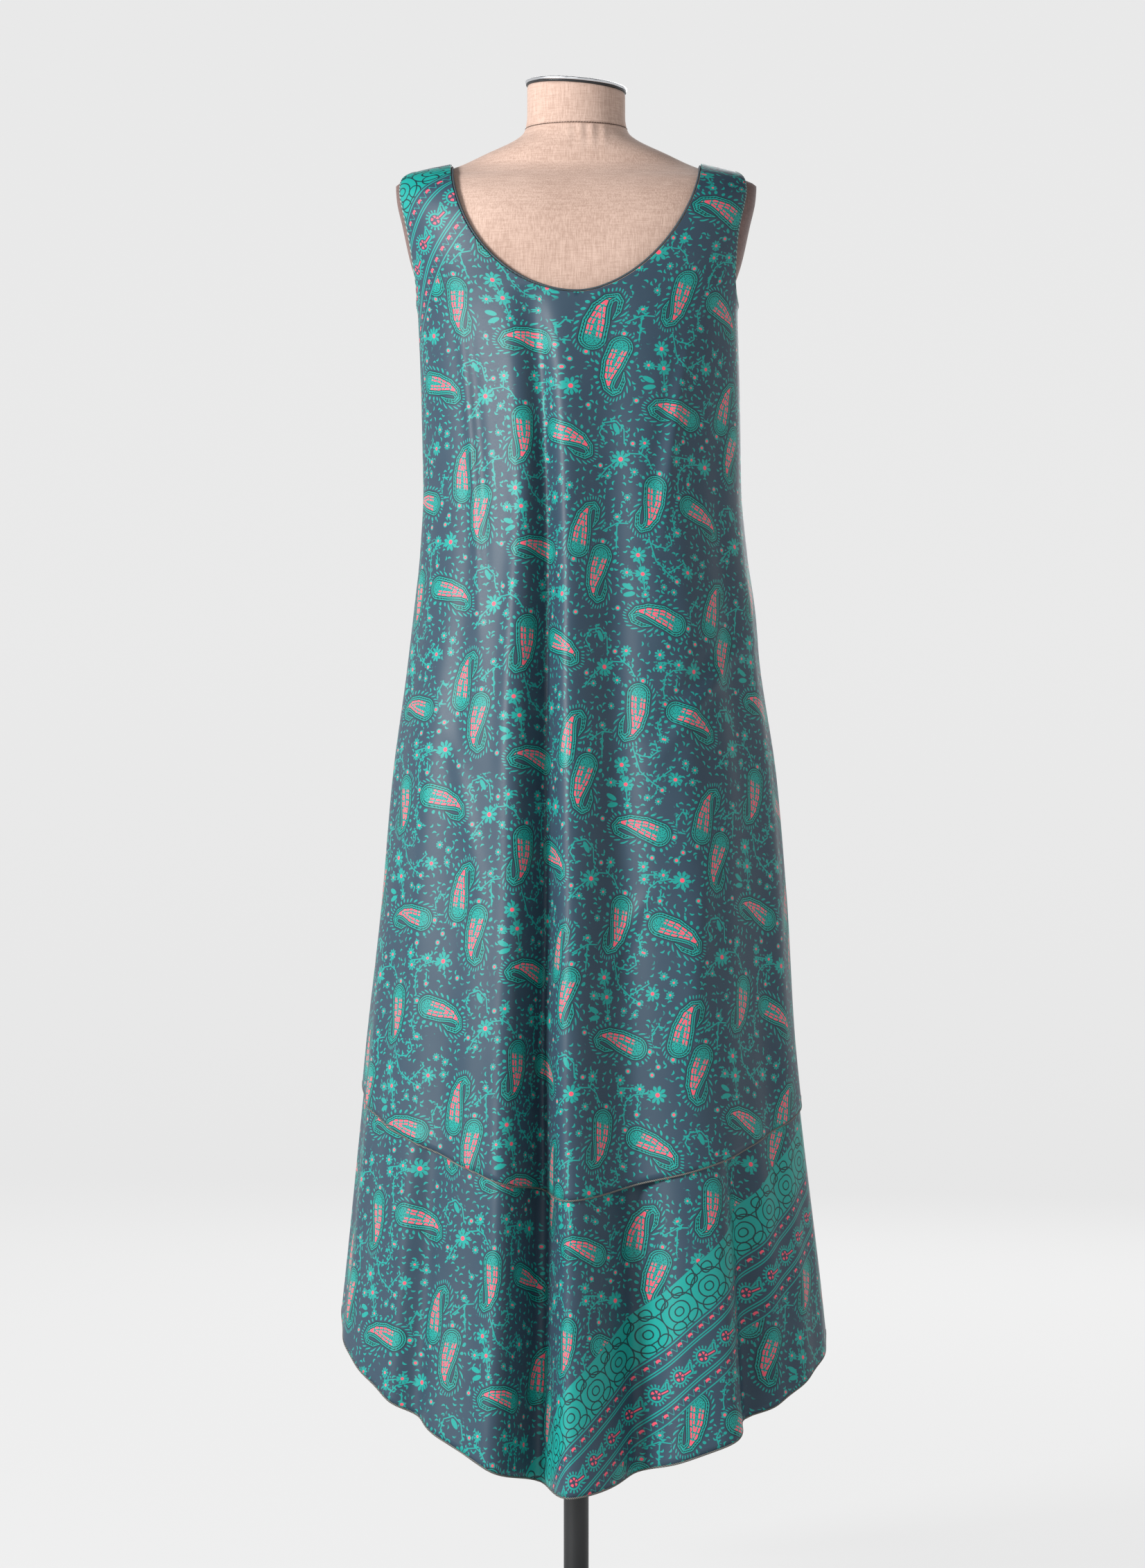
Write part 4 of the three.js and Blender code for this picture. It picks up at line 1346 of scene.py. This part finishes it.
# ---- the dress ---------------------------------------------------------------------------------


@dataclass(frozen=True)
class Cut:
    """The flat cut of one panel: width, length and area in metres, and how it is held."""

    width: float
    length: float
    area: float
    held: str = "hung"


@dataclass
class Dress:
    """The two-layer dress: four panels, the bound neckline and armholes, and the overlocked hems."""

    silk: bpy.types.Material
    edge: bpy.types.Material
    piping: bpy.types.Material
    overlock: bpy.types.Material
    back: Panel
    front: Panel
    lays: dict[tuple[Side, Layer], PrintLay]
    cuts: dict[tuple[Side, Layer], Cut]
    thickness: float = 0.8
    binding: Point2 = (1.2, 2.1)
    gap: float = 0.3

    def build(self) -> None:
        """Builds every piece and says what its cloth is cut to."""
        cloths: dict[tuple[Side, Layer], Cloth] = {}
        for panel in (self.back, self.front):
            for layer in Layer:
                key = (panel.side, layer)
                cloths[key] = panel.surface(layer, self.lays[key])
                self.panel(panel, layer, cloths[key])
        outer_back, outer_front = cloths[Side.BACK, Layer.OUTER], cloths[Side.FRONT, Layer.OUTER]
        self.bind("dress_neckline_edge", self.edge, "dress_neck_binding", outer_back, outer_front,
                  self.back.neck[Layer.OUTER], self.front.neck[Layer.OUTER])
        for i, word in enumerate(("left", "right")):
            self.bind(f"dress_armhole_{word}_edge", self.piping, f"dress_armhole_binding_{word}",
                      outer_back, outer_front,
                      self.back.armholes[Layer.OUTER][i], self.front.armholes[Layer.OUTER][i])

    def panel(self, panel: Panel, layer: Layer, cloth: Cloth) -> None:
        """One panel of cloth with its hem.

        Args:
            panel: the back or the front.
            layer: of the two.
            cloth: its middle surface.
        """
        word = "back" if panel.side is Side.BACK else "front"
        points, faces, flat = cloth.shell(self.thickness)
        obj = Maker.mesh(f"dress_{layer.value}_{word}_panel", points, faces, self.silk, flat)
        Maker.place(obj, "print", f"dress_{layer.value}_{word}")
        run = panel.hem_run[layer]
        hem = cloth.points[run][1:-1]
        hem = hem - np.array([0, 0, 0.9])
        trim = Maker.tube(f"dress_{layer.value}_{word}_hem", hem, cloth.normals()[run][1:-1],
                          (0.85, 1.1), self.overlock, closed=False, sides=6)
        Maker.place(trim, "binding")
        LOG.info("%s: cut %.3f by %.3f m, %.3f m2", obj.name, *self.measure(cloth))

    @staticmethod
    def measure(cloth: Cloth) -> tuple[float, float, float]:
        """Width, length and area of a panel's flat pattern, in metres."""
        size = (cloth.flat.max(0) - cloth.flat.min(0)) * MM
        q = cloth.points[cloth.quads] * MM
        area = np.linalg.norm(np.cross(q[:, 2] - q[:, 0], q[:, 3] - q[:, 1]), axis=1).sum() / 2
        return float(size[0]), float(size[1]), float(area)

    def bind(
        self, name: str, material: bpy.types.Material, node: str,
        back: Cloth, front: Cloth, back_run: np.ndarray, front_run: np.ndarray,
    ) -> None:
        """A narrow rolled edge over both layers, along the back's run and returning along the front's."""
        path, outward, normal = [], [], []
        for cloth, run in ((back, back_run), (front, front_run[1:-1][::-1])):
            path.append(cloth.points[run])
            normal.append(cloth.normals()[run])
            outward.append(self.away(cloth, run))
        path, normal, outward = np.concatenate(path), np.concatenate(normal), np.concatenate(outward)
        middle = path + outward * (self.gap + self.binding[0]) - normal * (self.back.layer_step / 2)
        obj = Maker.tube(name, self.smooth(middle), self.smooth(outward), self.binding, material, closed=True)
        Maker.place(obj, "binding", node)

    @staticmethod
    def smooth(loop: np.ndarray) -> np.ndarray:
        """A loop of rows with small corners eased."""
        for _ in range(3):
            loop = (np.roll(loop, 1, axis=0) + 2 * loop + np.roll(loop, -1, axis=0)) / 4
        return loop

    @staticmethod
    def away(cloth: Cloth, run: np.ndarray) -> np.ndarray:
        """The way out of the cloth along its surface, at each point of an edge."""
        along = np.gradient(cloth.points[run], axis=0)
        out = np.cross(along, cloth.normals()[run])
        out /= np.linalg.norm(out, axis=1, keepdims=True)
        middle = len(run) // 2
        inside = cloth.points[np.unique(cloth.quads[(cloth.quads == run[middle]).any(1)])].mean(0)
        return -out if (inside - cloth.points[run[middle]]) @ out[middle] > 0 else out


def back_panel() -> Panel:
    """The back, with its deep fold and its creases."""
    return Panel(
        Side.BACK,
        folds=(
            Fold((-0.24, -0.2), 0.06, 11), Fold((-0.155, -0.108), 0.053, -50),
            Fold((-0.06, -0.028), 0.06, 18, -4), Fold((0.1, 0.13), 0.075, -19),
            Fold((0.33, 0.36), 0.1, 11), Fold((-0.5, -0.44), 0.09, -7), Fold((0.66, 0.6), 0.1, -8),
        ),
        under_folds=(
            Fold((0.14, 0.14), 0.05, -22), Fold((0.47, 0.47), 0.06, -30), Fold((-0.47, -0.47), 0.045, -14),
        ),
        hems={Layer.OUTER: Hem(-0.03, 480, 590, 574, 0.95), Layer.UNDER: Hem(-0.03, 176, 348, 322, 0.97)},
        scoop=151, reach=(46, 57), rounding=(2, 1.75),
        creases=(
            Crease((30, 1437), (6, 1392), 2.6, 1.8, 3), Crease((27, 1436), (30, 1390), 2.2, 1.5, -2),
            Crease((122, 1390), (88, 1150), 6, 3.2, 6), Crease((104, 1370), (70, 1120), 9, -2.2, 4),
            Crease((-128, 1440), (-104, 1060), 6, 2.8, -6), Crease((-116, 1400), (-92, 1040), 8, -1.6, -4),
            Crease((196, 1075), (78, 925), 7, 4.2, 5), Crease((180, 1090), (70, 945), 8, -2.4, 5),
            Crease((80, 800), (22, 680), 8, 3.4, 4), Crease((60, 1260), (92, 1010), 11, 2.0, -5),
            Crease((-60, 1180), (-74, 900), 9, 2.2, 4), Crease((-150, 1010), (-96, 760), 9, 2.4, -5),
            Crease((-40, 1330), (-52, 1170), 7, 1.6, 3), Crease((140, 860), (120, 620), 12, 3.0, 6),
        ),
    )


def front_panel() -> Panel:
    """The front, with three folds and a few creases."""
    return Panel(
        Side.FRONT,
        folds=(
            Fold((-0.42, -0.4), 0.09, 12), Fold((-0.2, -0.2), 0.07, -24), Fold((0.02, 0.1), 0.09, 14),
            Fold((0.28, 0.34), 0.06, -28), Fold((0.48, 0.52), 0.09, 12),
        ),
        under_folds=(Fold((-0.55, -0.6), 0.06, -18),),
        hems={Layer.OUTER: Hem(0.08, 466, 590, 574, 1.05), Layer.UNDER: Hem(0.12, 138, 348, 322, 1.02)},
        scoop=172, reach=(54, 54), rounding=(2, 2), columns=150,
        creases=(
            Crease((110, 1370), (84, 1130), 7, 2.6, 5), Crease((-118, 1380), (-86, 1120), 7, 2.6, -5),
            Crease((-170, 1060), (-60, 900), 8, 3.2, 4), Crease((60, 1180), (74, 880), 9, 2.4, -4),
            Crease((-30, 1240), (-44, 980), 9, 2.0, 4), Crease((150, 980), (104, 720), 10, 3.0, 5),
        ),
    )


# ---- studio ------------------------------------------------------------------------------------


@dataclass
class Studio:
    """The camera, the pale floor with its backdrop, and soft lights."""

    lens: float = 95.45
    camera_at: tuple[float, float, float] = (-0.004, -4.5, 0.909)
    pale: float = 0.84
    own_light: float = 0.885
    returned: float = 0.10
    bounces: int = 3
    floor_radius: float = 7000
    bend: float = 1500
    wall_top: float = 7000

    def camera(self) -> None:
        """A level camera square to the wearer's back."""
        data = bpy.data.cameras.new("camera")
        data.lens, data.sensor_width = self.lens, 36
        camera = bpy.data.objects.new("camera", data)
        camera.location = self.camera_at
        camera.rotation_euler = (math.pi / 2, 0, 0)
        bpy.context.scene.collection.objects.link(camera)
        bpy.context.scene.camera = camera

    def light(self, name: str, at: Sequence[float], aim: Sequence[float], size: float, power: float) -> None:
        """One square soft light.

        Args:
            name: of the light.
            at: its place.
            aim: what it faces.
            size: of its side.
            power: in watts.
        """
        data = bpy.data.lights.new(name, "AREA")
        data.size, data.energy = size, power
        obj = bpy.data.objects.new(name, data)
        obj.location = at
        away = np.array(at) - np.array(aim)
        flat = math.hypot(away[0], away[1])
        obj.rotation_euler = (math.atan2(flat, away[2]), 0, math.atan2(away[0], -away[1]))
        bpy.context.scene.collection.objects.link(obj)

    def stage(self) -> None:
        """The floor, curving up into a backdrop on all sides of the form."""
        g = Graph("pale_paper")
        glow = {"Color": colour((self.pale,) * 3), "Strength": self.own_light}
        own = g.node("ShaderNodeEmission", None, glow)
        lit = g.node("ShaderNodeBsdfDiffuse", None, {"Color": colour((self.returned,) * 3)})
        g.node_output(g.node("ShaderNodeAddShader", None, {0: own, 1: lit}))
        g.material.cycles.emission_sampling = "NONE"
        sides, floor, bend = 96, self.floor_radius, self.bend
        angle = np.arange(sides) * math.tau / sides
        profile = [(0.01, -1.0), (4000, -1.0), (floor, -1.0)]
        curve = np.linspace(0.2, 1.5, 8)
        profile += [(floor + bend * math.sin(a), bend - 1 - bend * math.cos(a)) for a in curve]
        profile.append((floor + bend, self.wall_top))
        points = np.array([(r * math.cos(a), r * math.sin(a), z) for r, z in profile for a in angle])
        faces = []
        for low in range(0, (len(profile) - 1) * sides, sides):
            for i in range(sides):
                j = (i + 1) % sides
                faces.append([low + i, low + j, low + sides + j, low + sides + i])
        Maker.mesh("floor_and_backdrop", points, faces, g.material)

    def build(self) -> None:
        """Lights the scene and sets how colours are shown."""
        self.stage()
        middle = (0, 0, 1.0)
        self.light("key", (-3.3, -2.6, 2.2), middle, 1.2, 270)
        self.light("front", (-0.6, -4.4, 3.2), middle, 2.0, 12)
        self.light("behind", (0.8, 3.6, 2.6), middle, 2.4, 90)
        world = bpy.data.worlds.new("room")
        bpy.context.scene.world = world
        world.use_nodes = True
        world.node_tree.nodes["Background"].inputs[0].default_value = (0.9, 0.93, 1, 1)
        world.node_tree.nodes["Background"].inputs[1].default_value = 0.1
        bpy.context.scene.view_settings.view_transform = "Standard"
        paths = bpy.context.scene.cycles
        paths.max_bounces = self.bounces
        paths.diffuse_bounces = paths.glossy_bounces = self.bounces - 1


def main() -> None:
    """Builds the camera, the form, its stand, the dress and the studio, in that order."""
    logging.basicConfig(level=logging.INFO, format="%(name)s %(message)s")
    studio = Studio()
    studio.camera()
    canvas = WovenFinish("canvas_cover", (0.54, 0.385, 0.315), (0.33, 0.215, 0.165)).build()
    velvet = WovenFinish("arm_cap_cloth", (0.20, 0.115, 0.10), (0.085, 0.045, 0.04), 0.9, 0.6).build()
    chrome = MetalFinish("polished_cap", (0.62, 0.63, 0.65), (0.42, 0.43, 0.46), 1.0, 0.16).build()
    steel = MetalFinish("black_paint", (0.010, 0.011, 0.012), (0.022, 0.023, 0.026), 0.0, 0.38).build()
    thread = ThreadFinish("seam_thread", (0.12, 0.07, 0.05), (0.05, 0.03, 0.02)).build()
    DressForm(canvas, velvet, chrome, steel, thread).build()
    Stand(steel).build()
    silk = SilkPrint().build()
    edge = ThreadFinish("rolled_neck_edge", (0.07, 0.10, 0.12), (0.02, 0.03, 0.035), 1.4).build()
    piping = ThreadFinish("rolled_arm_edge", (0.20, 0.36, 0.34), (0.05, 0.10, 0.11), 5.0).build()
    overlock = ThreadFinish("overlock_thread", (0.17, 0.16, 0.14), (0.045, 0.05, 0.05), 2.2).build()
    lays = {
        (Side.BACK, Layer.OUTER): PrintLay(-4.3, (-75.8, 77.9)),
        (Side.BACK, Layer.UNDER): PrintLay(-4.3, (-841.6, -687.9)),
        (Side.FRONT, Layer.OUTER): PrintLay(5, (38, 12)),
        (Side.FRONT, Layer.UNDER): PrintLay(-4, (-812, -664)),
    }
    cuts = {
        (Side.BACK, Layer.OUTER): Cut(0.759, 1.181, 0.594),
        (Side.BACK, Layer.UNDER): Cut(0.859, 1.485, 0.827),
        (Side.FRONT, Layer.OUTER): Cut(0.727, 1.186, 0.576),
        (Side.FRONT, Layer.UNDER): Cut(0.814, 1.515, 0.799),
    }
    Dress(silk, edge, piping, overlock, back_panel(), front_panel(), lays, cuts).build()
    studio.build()


if __name__ == "__main__":
    main()
